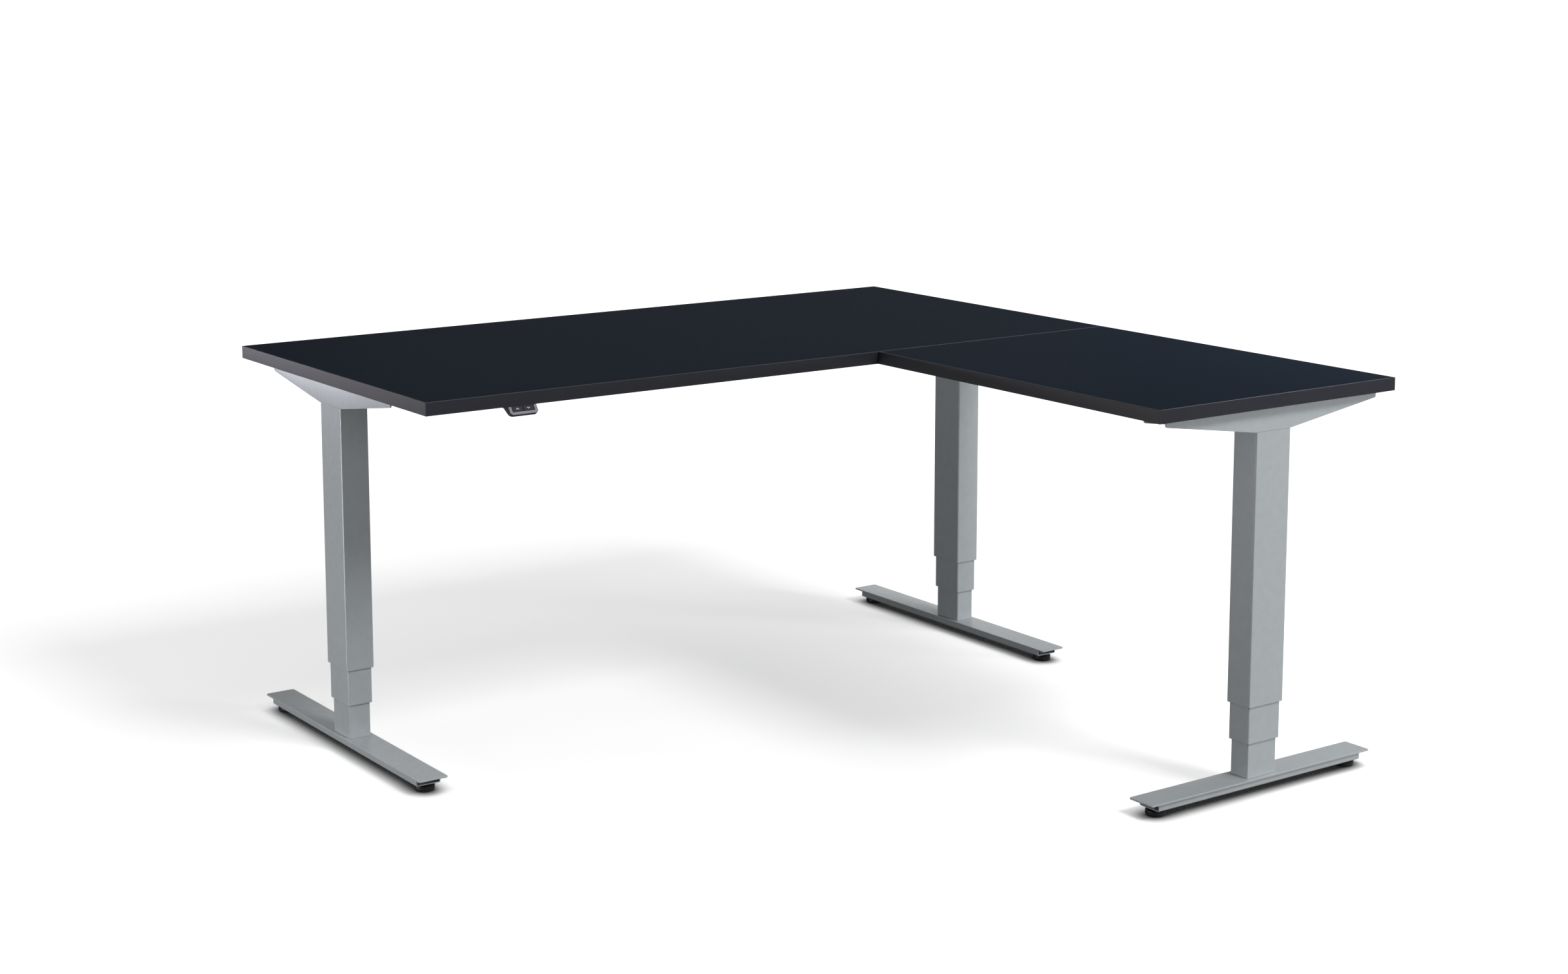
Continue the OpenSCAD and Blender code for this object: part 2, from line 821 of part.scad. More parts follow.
module board_screws() {
    color([0.75, 0.75, 0.72]) {
        at_left()
            for (y = bracket_screws(main_arm))
                translate([0, y, 0])
                    wood_screw();
        at_middle()
            for (y = bracket_screws(main_arm))
                translate([0, y, 0])
                    wood_screw();
        at_right()
            for (y = bracket_screws(return_arm))
                translate([0, y, 0])
                    wood_screw();
        for (x = joining_x, p = plate_screws_at)
            translate([x + p[0], seam_y + p[1], 0])
                wood_screw();
    }
}

module countersunk_set() {
    for (p = head_screws_at)
        translate([p[0], p[1], 0]) {
            translate([0, 0, web_z - 14])
                cylinder(r = m6_r, h = 14.2);
            translate([0, 0, web_z + 0.2])
                cylinder(r1 = m6_r, r2 = 2 * m6_r - 0.2, h = bracket_t - 0.4);
        }
}

module head_screws() {
    color([0.75, 0.75, 0.72]) {
        at_left() countersunk_set();
        at_middle() countersunk_set();
        at_right() countersunk_set();
    }
}

module foot_screw_set() {
    under_plate = foot_top - foot_t;
    for (p = foot_screws_at)
        translate([p[0], p[1], 0]) {
            translate([0, 0, under_plate - 4])
                cylinder(r = 5, h = 4);
            translate([0, 0, under_plate - 0.01])
                cylinder(r = m6_r, h = foot_t + 5.5);
        }
}

module foot_screws() {
    color([0.75, 0.75, 0.72]) {
        at_left() foot_screw_set();
        at_middle() foot_screw_set();
        at_right() foot_screw_set();
    }
}

main_top();
return_top();
edge_bands();
left_bracket();
middle_bracket();
right_bracket();
left_head();
middle_head();
right_head();
left_drive();
middle_drive();
right_drive();
left_outer_tube();
middle_outer_tube();
right_outer_tube();
left_mid_tube();
middle_mid_tube();
right_mid_tube();
left_inner_tube();
middle_inner_tube();
right_inner_tube();
left_mid_guide();
middle_mid_guide();
right_mid_guide();
left_inner_guide();
middle_inner_guide();
right_inner_guide();
left_upper_screw();
middle_upper_screw();
right_upper_screw();
left_lower_screw();
middle_lower_screw();
right_lower_screw();
left_foot();
middle_foot();
right_foot();
left_front_glide();
left_back_glide();
middle_front_glide();
middle_back_glide();
right_inner_glide();
right_outer_glide();
main_beam();
main_beam_rails();
return_beam();
joining_plates();
control_box_case();
control_box_lid();
control_board();
mains_inlet();
handset_case();
handset_rim();
handset_board();
up_button();
down_button();
motor_leads();
handset_lead();
board_screws();
head_screws();
foot_screws();
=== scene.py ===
import math

import bmesh
import bpy
from mathutils import Matrix, Vector


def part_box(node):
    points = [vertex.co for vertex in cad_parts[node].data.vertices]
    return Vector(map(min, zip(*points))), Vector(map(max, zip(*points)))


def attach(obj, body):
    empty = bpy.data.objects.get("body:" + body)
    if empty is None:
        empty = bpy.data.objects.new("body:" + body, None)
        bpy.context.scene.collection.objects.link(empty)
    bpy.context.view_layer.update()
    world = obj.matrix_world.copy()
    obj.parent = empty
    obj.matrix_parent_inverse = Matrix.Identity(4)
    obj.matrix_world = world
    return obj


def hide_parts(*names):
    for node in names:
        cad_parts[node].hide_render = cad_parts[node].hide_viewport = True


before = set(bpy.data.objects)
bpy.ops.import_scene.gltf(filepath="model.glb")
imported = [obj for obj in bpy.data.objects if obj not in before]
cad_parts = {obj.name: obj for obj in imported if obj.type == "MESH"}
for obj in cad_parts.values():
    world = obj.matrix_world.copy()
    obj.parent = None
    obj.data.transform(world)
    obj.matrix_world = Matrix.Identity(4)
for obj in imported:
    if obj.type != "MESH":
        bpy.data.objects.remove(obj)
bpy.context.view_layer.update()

MM = 0.001
LEGS = ("left", "middle", "right")
ALONG_X = {"right"}  # the leg whose long side and foot lie along X
GLIDES = {
    "left": ("left_front_glide", "left_back_glide"),
    "middle": ("middle_front_glide", "middle_back_glide"),
    "right": ("right_inner_glide", "right_outer_glide"),
}

# Sizes that the boxes of the CAD nodes don't say, in metres
WALL = 1.8 * MM
TUBE_RADIUS = 2.5 * MM
BRACKET_SHEET = 3 * MM
BRACKET_END = 12 * MM
BRACKET_FLAT = 2 * MM
CHANNEL_SHEET = 2 * MM
CHANNEL_WIDTH = 50 * MM
CHANNEL_INSET = 22 * MM
PLATE_THICK = 3 * MM
BAND = 2 * MM
JOINING_PLATE = 120 * MM  # length of each of the two plates under the seam
PLATE_SCREWS = (45 * MM, 30 * MM)  # from a joining plate's middle to its screws, in X and Y
SCREWS_IN = (120 * MM, 25 * MM)  # from a bracket's end to its two screws
BOLTS = (26 * MM, 12 * MM)  # from a column's middle to its bolts, along and across the foot
MOTOR_LEAD = 2.5 * MM  # radius
HANDSET_LEAD = 1.75 * MM  # radius
LEAD_HOLE = 33 * MM  # depth of a motor lead's hole under the boards
CASE_THICK = 4.4 * MM


# ---- Camera, light and floor ----

def look_at(obj, target):
    """Turns a camera or a light so that it looks at a point."""
    obj.rotation_euler = (Vector(target) - obj.location).to_track_quat("-Z", "Y").to_euler()


def make_camera():
    """The camera stands to the left of the desk and in front of it, a little above its boards."""
    data = bpy.data.cameras.new("camera")
    data.sensor_width = 36
    data.lens = 57.48
    data.shift_y = -0.0998
    camera = bpy.data.objects.new("camera", data)
    bpy.context.scene.collection.objects.link(camera)
    camera.location = (-2.788, -3.896, 1.523)
    look_at(camera, camera.location + Vector((0.5716, 0.8072, -0.1473)))
    bpy.context.scene.camera = camera


def make_area_light(name, place, target, size, watts, colour=(1, 1, 1)):
    """A rectangular lamp that lights the desk but can't be seen itself."""
    data = bpy.data.lights.new(name, "AREA")
    data.shape = "RECTANGLE"
    data.size, data.size_y = size
    data.energy = watts
    data.color = colour
    lamp = bpy.data.objects.new(name, data)
    bpy.context.scene.collection.objects.link(lamp)
    lamp.location = place
    look_at(lamp, target)
    lamp.visible_camera = False
    return lamp


def make_card(name, place, target, size, watts, colour=(1, 1, 1)):
    """A white card that shows only in glossy surfaces."""
    lamp = make_area_light(name, place, target, size, watts, colour)
    lamp.visible_diffuse = False
    return lamp


def make_world():
    """White for the camera; for light, a dome that is bright overhead and dim at the horizon."""
    world = bpy.data.worlds.new("studio")
    bpy.context.scene.world = world
    world.use_nodes = True
    nodes, links = world.node_tree.nodes, world.node_tree.links
    nodes.clear()
    coords = nodes.new("ShaderNodeTexCoord")
    split = nodes.new("ShaderNodeSeparateXYZ")
    ramp = nodes.new("ShaderNodeValToRGB")
    ramp.color_ramp.elements[0].position = 0.0
    ramp.color_ramp.elements[0].color = (0.07, 0.072, 0.075, 1)
    ramp.color_ramp.elements[1].position = 0.9
    ramp.color_ramp.elements[1].color = (1, 1, 1, 1)
    dome = nodes.new("ShaderNodeBackground")
    dome.inputs["Strength"].default_value = 0.5
    white = nodes.new("ShaderNodeBackground")
    white.inputs["Color"].default_value = (1, 1, 1, 1)
    white.inputs["Strength"].default_value = 1.05
    ray = nodes.new("ShaderNodeLightPath")
    mix = nodes.new("ShaderNodeMixShader")
    out = nodes.new("ShaderNodeOutputWorld")
    links.new(coords.outputs["Generated"], split.inputs[0])
    links.new(split.outputs["Z"], ramp.inputs["Fac"])
    links.new(ramp.outputs["Color"], dome.inputs["Color"])
    links.new(ray.outputs["Is Camera Ray"], mix.inputs["Fac"])
    links.new(dome.outputs[0], mix.inputs[1])
    links.new(white.outputs[0], mix.inputs[2])
    links.new(mix.outputs[0], out.inputs["Surface"])


def make_floor():
    """White where the camera sees it unshaded, and a duller grey where light bounces off it."""
    mesh = bpy.data.meshes.new("floor")
    half = 30
    corners = [(-half, -half, 0), (half, -half, 0), (half, half, 0), (-half, half, 0)]
    mesh.from_pydata(corners, [], [(0, 1, 2, 3)])
    floor = bpy.data.objects.new("floor", mesh)
    bpy.context.scene.collection.objects.link(floor)
    material = bpy.data.materials.new("floor")
    material.use_nodes = True
    nodes, links = material.node_tree.nodes, material.node_tree.links
    nodes.clear()
    # Far from the desk the glow takes over from the light, so that the floor stays white
    coords = nodes.new("ShaderNodeTexCoord")
    reach = nodes.new("ShaderNodeVectorMath")
    reach.operation = "LENGTH"
    far = nodes.new("ShaderNodeMapRange")
    far.interpolation_type = "SMOOTHSTEP"
    far.inputs["From Min"].default_value = 1.6
    far.inputs["From Max"].default_value = 5.0
    far.inputs["To Min"].default_value = 0.54
    far.inputs["To Max"].default_value = 1.05
    # Contact shadow in the gap under a foot
    contact = nodes.new("ShaderNodeAmbientOcclusion")
    contact.samples = 8
    contact.inputs["Distance"].default_value = 0.044
    gap = nodes.new("ShaderNodeValToRGB")
    gap.color_ramp.elements[0].position = 0.3
    gap.color_ramp.elements[0].color = (0.02, 0.02, 0.02, 1)
    gap.color_ramp.elements[1].position = 0.85
    gap.color_ramp.elements[1].color = (1, 1, 1, 1)
    shade = nodes.new("ShaderNodeMix")
    shade.data_type = "RGBA"
    shade.blend_type = "MULTIPLY"
    shade.inputs["Factor"].default_value = 1.0
    shade.inputs["B"].default_value = (0.66, 0.66, 0.66, 1)
    seen = nodes.new("ShaderNodeBsdfDiffuse")
    glow = nodes.new("ShaderNodeEmission")
    add = nodes.new("ShaderNodeAddShader")
    bounce = nodes.new("ShaderNodeBsdfDiffuse")
    bounce.inputs["Color"].default_value = (0.22, 0.22, 0.22, 1)
    ray = nodes.new("ShaderNodeLightPath")
    mix = nodes.new("ShaderNodeMixShader")
    out = nodes.new("ShaderNodeOutputMaterial")
    links.new(coords.outputs["Object"], reach.inputs[0])
    links.new(reach.outputs["Value"], far.inputs["Value"])
    links.new(contact.outputs["AO"], gap.inputs["Fac"])
    links.new(gap.outputs["Color"], shade.inputs["A"])
    links.new(shade.outputs["Result"], seen.inputs["Color"])
    links.new(gap.outputs["Color"], glow.inputs["Color"])
    links.new(far.outputs["Result"], glow.inputs["Strength"])
    links.new(seen.outputs[0], add.inputs[0])
    links.new(glow.outputs[0], add.inputs[1])
    links.new(ray.outputs["Is Camera Ray"], mix.inputs["Fac"])
    links.new(bounce.outputs[0], mix.inputs[1])
    links.new(add.outputs[0], mix.inputs[2])
    links.new(mix.outputs[0], out.inputs["Surface"])
    mesh.materials.append(material)


def make_stage():
    """The world, the floor and every lamp and card."""
    bpy.context.scene.view_settings.view_transform = "Standard"
    make_world()
    make_floor()
    make_area_light("key", place=(1.6, -6.0, 7.0), target=(0.1, 0.2, 0.4), size=(2.4, 2.4),
                    watts=500)
    side = make_area_light("right_front", place=(5.5, -5.6, 0.75), target=(0.2, 0.0, 0.3),
                           size=(1.4, 0.8), watts=370)
    side.visible_glossy = False
    make_area_light("left_fill", place=(-2.5, 0.5, 0.2), target=(-0.7, 0.5, 0.25),
                    size=(1.0, 0.4), watts=19)
    make_area_light("over_return", place=(1.3, -0.6, 1.6), target=(1.3, -0.55, 0.75),
                    size=(0.5, 0.4), watts=10)
    make_card("back_card", place=(2.7, 4.4, 0.75), target=(0.3, 0.3, 0.05), size=(3.2, 1.2),
              watts=20)
    make_card("left_card", place=(-1.55, 1.72, 0.75), target=(-0.8, 0.7, 0.74),
              size=(0.8, 0.12), watts=7.0, colour=(0.94, 0.90, 1.0))


# ---- Materials ----

def make_material(name, colour, spread, colour_scale, rough, rough_spread, bump, bump_scale,
                  metallic=0.0, specular=0.5, wear=0.0, coat=0.0, stretch=(1, 1, 1)):
    """A Principled surface whose colour, roughness and fine relief vary over the object.

    Scales are in features per metre and bump is a height in metres. The colour varies by spread
    and the roughness by rough_spread, to either side, and convex edges are lightened, both as wear
    and as a painted highlight along their arrises.
    """
    material = bpy.data.materials.new(name)
    material.use_nodes = True
    material.diffuse_color = (*colour, 1)
    nodes, links = material.node_tree.nodes, material.node_tree.links
    surface = nodes["Principled BSDF"]
    surface.inputs["Metallic"].default_value = metallic
    surface.inputs["Specular IOR Level"].default_value = specular
    surface.inputs["Coat Weight"].default_value = coat
    surface.inputs["Coat Roughness"].default_value = 0.2

    coords = nodes.new("ShaderNodeTexCoord")
    mapping = nodes.new("ShaderNodeMapping")
    mapping.inputs["Scale"].default_value = stretch
    links.new(coords.outputs["Object"], mapping.inputs["Vector"])

    def noise(scale, detail=3.0, roughness=0.55):
        node = nodes.new("ShaderNodeTexNoise")
        node.inputs["Scale"].default_value = scale
        node.inputs["Detail"].default_value = detail
        node.inputs["Roughness"].default_value = roughness
        links.new(mapping.outputs[0], node.inputs["Vector"])
        return node.outputs["Fac"]

    def ramp(value, low, high, start=0.3, end=0.7):
        node = nodes.new("ShaderNodeValToRGB")
        node.color_ramp.elements[0].position = start
        node.color_ramp.elements[0].color = (*low, 1)
        node.color_ramp.elements[1].position = end
        node.color_ramp.elements[1].color = (*high, 1)
        links.new(value, node.inputs["Fac"])
        return node.outputs["Color"]

    low = [max(0.0, c * (1 - spread)) for c in colour]
    high = [min(1.0, c * (1 + spread)) for c in colour]
    tint = ramp(noise(colour_scale, 4.0), low, high)
    # Convex edges lightened through the Bevel node's mask: partly wear, partly a painted highlight line
    # along the arrises
    if wear:
        geometry = nodes.new("ShaderNodeNewGeometry")
        rounded = nodes.new("ShaderNodeBevel")
        rounded.samples = 4
        rounded.inputs["Radius"].default_value = 0.9 * MM
        turn = nodes.new("ShaderNodeVectorMath")
        turn.operation = "DOT_PRODUCT"
        links.new(rounded.outputs["Normal"], turn.inputs[0])
        links.new(geometry.outputs["Normal"], turn.inputs[1])
        edge = ramp(turn.outputs["Value"], (wear, wear, wear), (0, 0, 0), 0.80, 0.96)
        wear_and_highlight_mix = nodes.new("ShaderNodeMix")
        wear_and_highlight_mix.data_type = "RGBA"
        wear_and_highlight_mix.inputs["B"].default_value = (*[min(1.0, c * 1.8 + 0.04) for c in colour], 1)
        links.new(edge, wear_and_highlight_mix.inputs["Factor"])
        links.new(tint, wear_and_highlight_mix.inputs["A"])
        tint = wear_and_highlight_mix.outputs["Result"]
    links.new(tint, surface.inputs["Base Color"])

    smooth, dull = rough - rough_spread, rough + rough_spread
    links.new(ramp(noise(colour_scale * 2.3, 2.0), (smooth,) * 3, (dull,) * 3),
              surface.inputs["Roughness"])

    relief = nodes.new("ShaderNodeBump")
    relief.inputs["Distance"].default_value = bump
    relief.inputs["Strength"].default_value = 1.0
    links.new(noise(bump_scale, 2.0), relief.inputs["Height"])
    links.new(relief.outputs["Normal"], surface.inputs["Normal"])
    return material


SURFACES = {
    "laminate": {
        "colour": (0.0095, 0.0140, 0.0215), "spread": 0.06, "colour_scale": 700,
        "rough": 0.60, "rough_spread": 0.05, "bump": 0.00004, "bump_scale": 900,
        "specular": 0.006,
    },
    "edge": {
        "colour": (0.0178, 0.0186, 0.0250), "spread": 0.20, "colour_scale": 900,
        "rough": 0.42, "rough_spread": 0.06, "bump": 0.00005, "bump_scale": 1100,
        # The lightened arrises here are mostly a painted highlight line along the top edges
        "specular": 0.42, "wear": 0.18,
    },
    "silver_paint": {
        "colour": (0.40, 0.43, 0.445), "spread": 0.035, "colour_scale": 60,
        "rough": 0.40, "rough_spread": 0.05, "bump": 0.00002, "bump_scale": 1400,
        # Lightened edges: wear and a painted highlight line along the arrises
        "metallic": 0.25, "specular": 0.5, "wear": 0.25,
    },
    "cast_metal": {
        "colour": (0.30, 0.31, 0.33), "spread": 0.12, "colour_scale": 130,
        "rough": 0.55, "rough_spread": 0.08, "bump": 0.00020, "bump_scale": 700,
        "metallic": 0.8,
    },
    "motor_metal": {
        "colour": (0.10, 0.10, 0.11), "spread": 0.15, "colour_scale": 90,
        "rough": 0.45, "rough_spread": 0.08, "bump": 0.00006, "bump_scale": 900,
        "metallic": 0.7,
    },
    "steel": {
        "colour": (0.55, 0.56, 0.58), "spread": 0.10, "colour_scale": 160,
        "rough": 0.30, "rough_spread": 0.08, "bump": 0.00004, "bump_scale": 900,
        "metallic": 1.0, "stretch": (1, 1, 0.2),
    },
    "black_plastic": {
        "colour": (0.020, 0.020, 0.022), "spread": 0.20, "colour_scale": 120,
        "rough": 0.48, "rough_spread": 0.07, "bump": 0.00008, "bump_scale": 1300,
        "wear": 0.4,
    },
    "white_plastic": {
        "colour": (0.66, 0.65, 0.61), "spread": 0.05, "colour_scale": 90,
        "rough": 0.45, "rough_spread": 0.05, "bump": 0.00004, "bump_scale": 900,
    },
    "glide_rubber": {
        "colour": (0.012, 0.012, 0.013), "spread": 0.25, "colour_scale": 150,
        "rough": 0.40, "rough_spread": 0.10, "bump": 0.00008, "bump_scale": 900,
        "wear": 0.3,
    },
    "rim_plastic": {
        "colour": (0.165, 0.16, 0.20), "spread": 0.06, "colour_scale": 200,
        "rough": 0.35, "rough_spread": 0.05, "bump": 0.00003, "bump_scale": 1500,
    },
    "key_plastic": {
        "colour": (0.014, 0.014, 0.019), "spread": 0.12, "colour_scale": 200,
        "rough": 0.50, "rough_spread": 0.05, "bump": 0.00004, "bump_scale": 1600,
        "specular": 0.2,
    },
    "circuit": {
        "colour": (0.02, 0.10, 0.04), "spread": 0.35, "colour_scale": 500,
        "rough": 0.45, "rough_spread": 0.10, "bump": 0.00010, "bump_scale": 500,
    },
    "cable": {
        "colour": (0.018, 0.018, 0.020), "spread": 0.20, "colour_scale": 200,
        "rough": 0.50, "rough_spread": 0.08, "bump": 0.00006, "bump_scale": 900,
    },
    "zinc": {
        "colour": (0.60, 0.60, 0.57), "spread": 0.12, "colour_scale": 300,
        "rough": 0.34, "rough_spread": 0.08, "bump": 0.00004, "bump_scale": 900,
        "metallic": 1.0,
    },
}
MATERIALS = {name: make_material(name, **look) for name, look in SURFACES.items()}
MARK = make_material("mark", colour=(0.75, 0.76, 0.78), spread=0.03, colour_scale=300, rough=0.5,
                     rough_spread=0.03, bump=0.00001, bump_scale=900)


# ---- Mesh helpers ----

def arc(cx, cy, radius, start, end, steps):
    """Points of an arc, angles in degrees."""
    return [(cx + radius * math.cos(math.radians(start + (end - start) * k / steps)),
             cy + radius * math.sin(math.radians(start + (end - start) * k / steps)))
            for k in range(steps + 1)]


def rounded_rectangle(width, depth, radius, steps=6):
    """A ring of points round a rectangle with round corners, centred on the origin."""
    ring = []
    for k, (sx, sy) in enumerate(((1, 1), (-1, 1), (-1, -1), (1, -1))):
        ring += arc(sx * (width / 2 - radius), sy * (depth / 2 - radius), radius,
                    90 * k, 90 * k + 90, steps)
    return ring


def fillet(points, radii, steps=5):
    """A closed outline whose corners are rounded, each by its own radius."""
    out = []
    count = len(points)
    for k, radius in enumerate(radii):
        here = Vector(points[k])
        back = Vector(points[k - 1]) - here
        ahead = Vector(points[(k + 1) % count]) - here
        if radius <= 0:
            out.append(tuple(here))
            continue
        half = back.angle(ahead) / 2
        reach = radius / math.tan(half)
        a = here + back.normalized() * reach
        b = here + ahead.normalized() * reach
        centre = here + (back.normalized() + ahead.normalized()).normalized() * (radius / math.sin(half))
        from_a, from_b = a - centre, b - centre
        turn = from_a.angle_signed(from_b)
        for s in range(steps + 1):
            spoke = from_a.copy()
            spoke.rotate(Matrix.Rotation(-turn * s / steps, 2))
            out.append(tuple(centre + spoke))
    return out


def add_loft(bm, rings, closed=False, capped=True):
    """Skins a run of rings with the same number of points; closed joins the last to the first."""
    rows = [[bm.verts.new(p) for p in ring] for ring in rings]
    size = len(rows[0])
    pairs = list(zip(rows, rows[1:]))
    if closed:
        pairs.append((rows[-1], rows[0]))
    for low, high in pairs:
        for k in range(size):
            q = (k + 1) % size
            bm.faces.new((low[k], low[q], high[q], high[k]))
    if capped and not closed:
        bm.faces.new(list(reversed(rows[0])))
        bm.faces.new(rows[-1])
    return rows


def add_folded_sheet(bm, rings):
    """A folded sheet; each ring goes out along its outer face and comes back along its inner."""
    rows = [[bm.verts.new(p) for p in ring] for ring in rings]
    count = len(rows[0])
    for a, b in zip(rows, rows[1:]):
        for k in range(count):
            q = (k + 1) % count
            bm.faces.new((a[k], a[q], b[q], b[k]))
    for row in (rows[0], rows[-1]):
        for k in range(count // 2 - 1):
            bm.faces.new((row[k], row[k + 1], row[count - 2 - k], row[count - 1 - k]))


def add_prism(bm, outline, z0, z1, matrix=Matrix.Identity(4)):
    """An outline in X and Y between two heights, then placed by a matrix."""
    rings = [[matrix @ Vector((x, y, z)) for x, y in outline] for z in (z0, z1)]
    return add_loft(bm, rings)


def add_lathe(bm, profile, centre, steps=40, matrix=Matrix.Identity(4)):
    """Turns a profile of (radius, height) pairs, from axis to axis, about the vertical."""
    rings = []
    for radius, height in profile[1:-1]:
        rings.append([matrix @ (Vector(centre) + Vector((radius * math.cos(2 * math.pi * k / steps),
                                                         radius * math.sin(2 * math.pi * k / steps),
                                                         height))) for k in range(steps)])
    rows = add_loft(bm, rings, capped=False)
    first = bm.verts.new(matrix @ (Vector(centre) + Vector((0, 0, profile[0][1]))))
    last = bm.verts.new(matrix @ (Vector(centre) + Vector((0, 0, profile[-1][1]))))
    for k in range(steps):
        q = (k + 1) % steps
        bm.faces.new((first, rows[0][q], rows[0][k]))
        bm.faces.new((last, rows[-1][k], rows[-1][q]))


def add_rounded_box(bm, low, high, radius, steps=4, edge=0.0):
    """A box whose upright corners are rounded by radius and whose rims are rounded by edge."""
    low, high = Vector(low), Vector(high)
    centre, size = (low + high) / 2, high - low
    rings = []
    if edge:
        bottom = arc(0, 0, edge, 270, 360, 3)
        profile = [(edge - x, low.z + edge + y) for x, y in bottom]
        profile += [(edge - x, high.z - edge + y) for x, y in arc(0, 0, edge, 0, 90, 3)]
    else:
        profile = [(0, low.z), (0, high.z)]
    for inset, z in profile:
        corner = max(radius - inset, 0.1 * MM)
        rings.append([(centre.x + x, centre.y + y, z) for x, y in
                      rounded_rectangle(size.x - 2 * inset, size.y - 2 * inset, corner, steps)])
    add_loft(bm, rings)


def new_piece(name, bm, body, slot, replaces=(), material=None, sharp=32, bevel=0.0, segments=2):
    """Turns a bmesh into an object that rides on a body and wears its slot's material."""
    bmesh.ops.remove_doubles(bm, verts=bm.verts, dist=1e-7)
    bmesh.ops.recalc_face_normals(bm, faces=bm.faces)
    mesh = bpy.data.meshes.new(name)
    bm.to_mesh(mesh)
    bm.free()
    mesh.materials.append(material or MATERIALS[slot])
    obj = bpy.data.objects.new(name, mesh)
    bpy.context.scene.collection.objects.link(obj)
    finish_piece(obj, body, replaces, sharp, bevel, segments)
    return obj


def finish_piece(obj, body, replaces=(), sharp=32, bevel=0.0, segments=2):
    """Gives an object its edges, shading and body, and hides the CAD nodes that it stands for."""
    obj.data.polygons.foreach_set("use_smooth", [True] * len(obj.data.polygons))
    obj.data.set_sharp_from_angle(angle=math.radians(sharp))
    if bevel:
        rounding = obj.modifiers.new("edges", "BEVEL")
        rounding.width = bevel
        rounding.segments = segments
        rounding.limit_method = "ANGLE"
        rounding.angle_limit = math.radians(sharp)
        rounding.harden_normals = True
        rounding.use_clamp_overlap = True
    else:
        weighted = obj.modifiers.new("normals", "WEIGHTED_NORMAL")
        weighted.keep_sharp = True
    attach(obj, body)
    if replaces:
        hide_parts(*replaces)


def centre_of(node):
    """The middle of a CAD node's box."""
    low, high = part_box(node)
    return (low + high) / 2


# ---- Boards ----

def make_board(name, low, high, strips_name, nodes):
    """A laminated board and its four edge strips, whose outer arrises are rounded."""
    core = bmesh.new()
    add_rounded_box(core, (low.x + BAND, low.y + BAND, low.z), (high.x - BAND, high.y - BAND, high.z),
                    0.2 * MM, 1)
    new_piece(name, core, "desktop", "laminate", nodes)

    strips = bmesh.new()
    soft = 0.9 * MM
    joint = 0.15 * MM
    section = fillet([(0, 0), (BAND, 0), (BAND, high.z - low.z), (0, high.z - low.z)],
                     [0, soft, soft, 0], 4)

    def strip(start, end, out):
        """One strip from start to end; out points away from the board."""
        along = (end - start).normalized()
        rings = []
        for corner, inset in ((start, joint), (end, -joint)):
            base = corner + along * inset
            rings.append([base + out * x + Vector((0, 0, z)) for x, z in section])
        add_loft(strips, rings)

    z = low.z
    x0, x1, y0, y1 = low.x + BAND, high.x - BAND, low.y + BAND, high.y - BAND
    strip(Vector((low.x, y0, z)), Vector((high.x, y0, z)), Vector((0, -1, 0)))
    strip(Vector((low.x, y1, z)), Vector((high.x, y1, z)), Vector((0, 1, 0)))
    strip(Vector((x0, y0, z)), Vector((x0, y1, z)), Vector((-1, 0, 0)))
    strip(Vector((x1, y0, z)), Vector((x1, y1, z)), Vector((1, 0, 0)))
    return new_piece(strips_name, strips, "desktop", "edge")


def make_boards():
    """The main board and the return board, grown by the edge strips that the CAD keeps apart."""
    for board in ("main", "return"):
        low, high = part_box(board + "_top")
        edge = Vector((BAND, BAND, 0))
        strips = make_board(board + "_board", low - edge, high + edge, board + "_edge_strips",
                            [board + "_top"])
        if board == "main":
            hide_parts("edge_bands")


# ---- Columns ----

def make_tube(name, node, body):
    """A rectangular tube with round corners and softened rims."""
    low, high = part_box(node)
    centre, size = (low + high) / 2, high - low
    lip = 0.7 * MM
    z0, z1 = low.z, high.z
    outer = [(lip - x, z0 + lip + y) for x, y in arc(0, 0, lip, 270, 360, 3)]
    outer += [(lip - x, z1 - lip + y) for x, y in arc(0, 0, lip, 0, 90, 3)]
    rings = []
    for inset, z in outer + [(WALL, z1), (WALL, z0)]:
        corner = max(TUBE_RADIUS - inset, 0.5 * MM)
        rings.append([(centre.x + x, centre.y + y, z) for x, y in
                      rounded_rectangle(size.x - 2 * inset, size.y - 2 * inset, corner)])
    bm = bmesh.new()
    add_loft(bm, rings, closed=True)
    new_piece(name, bm, body, "silver_paint", [node])


def make_columns():
    """The three nested tubes of each leg, each on its own body."""
    for leg in LEGS:
        make_tube(leg + "_outer_column", leg + "_outer_tube", "desktop")
        make_tube(leg + "_middle_column", leg + "_mid_tube", leg + "_middle_stage")
        make_tube(leg + "_inner_column", leg + "_inner_tube", "base")


# ---- Brackets ----

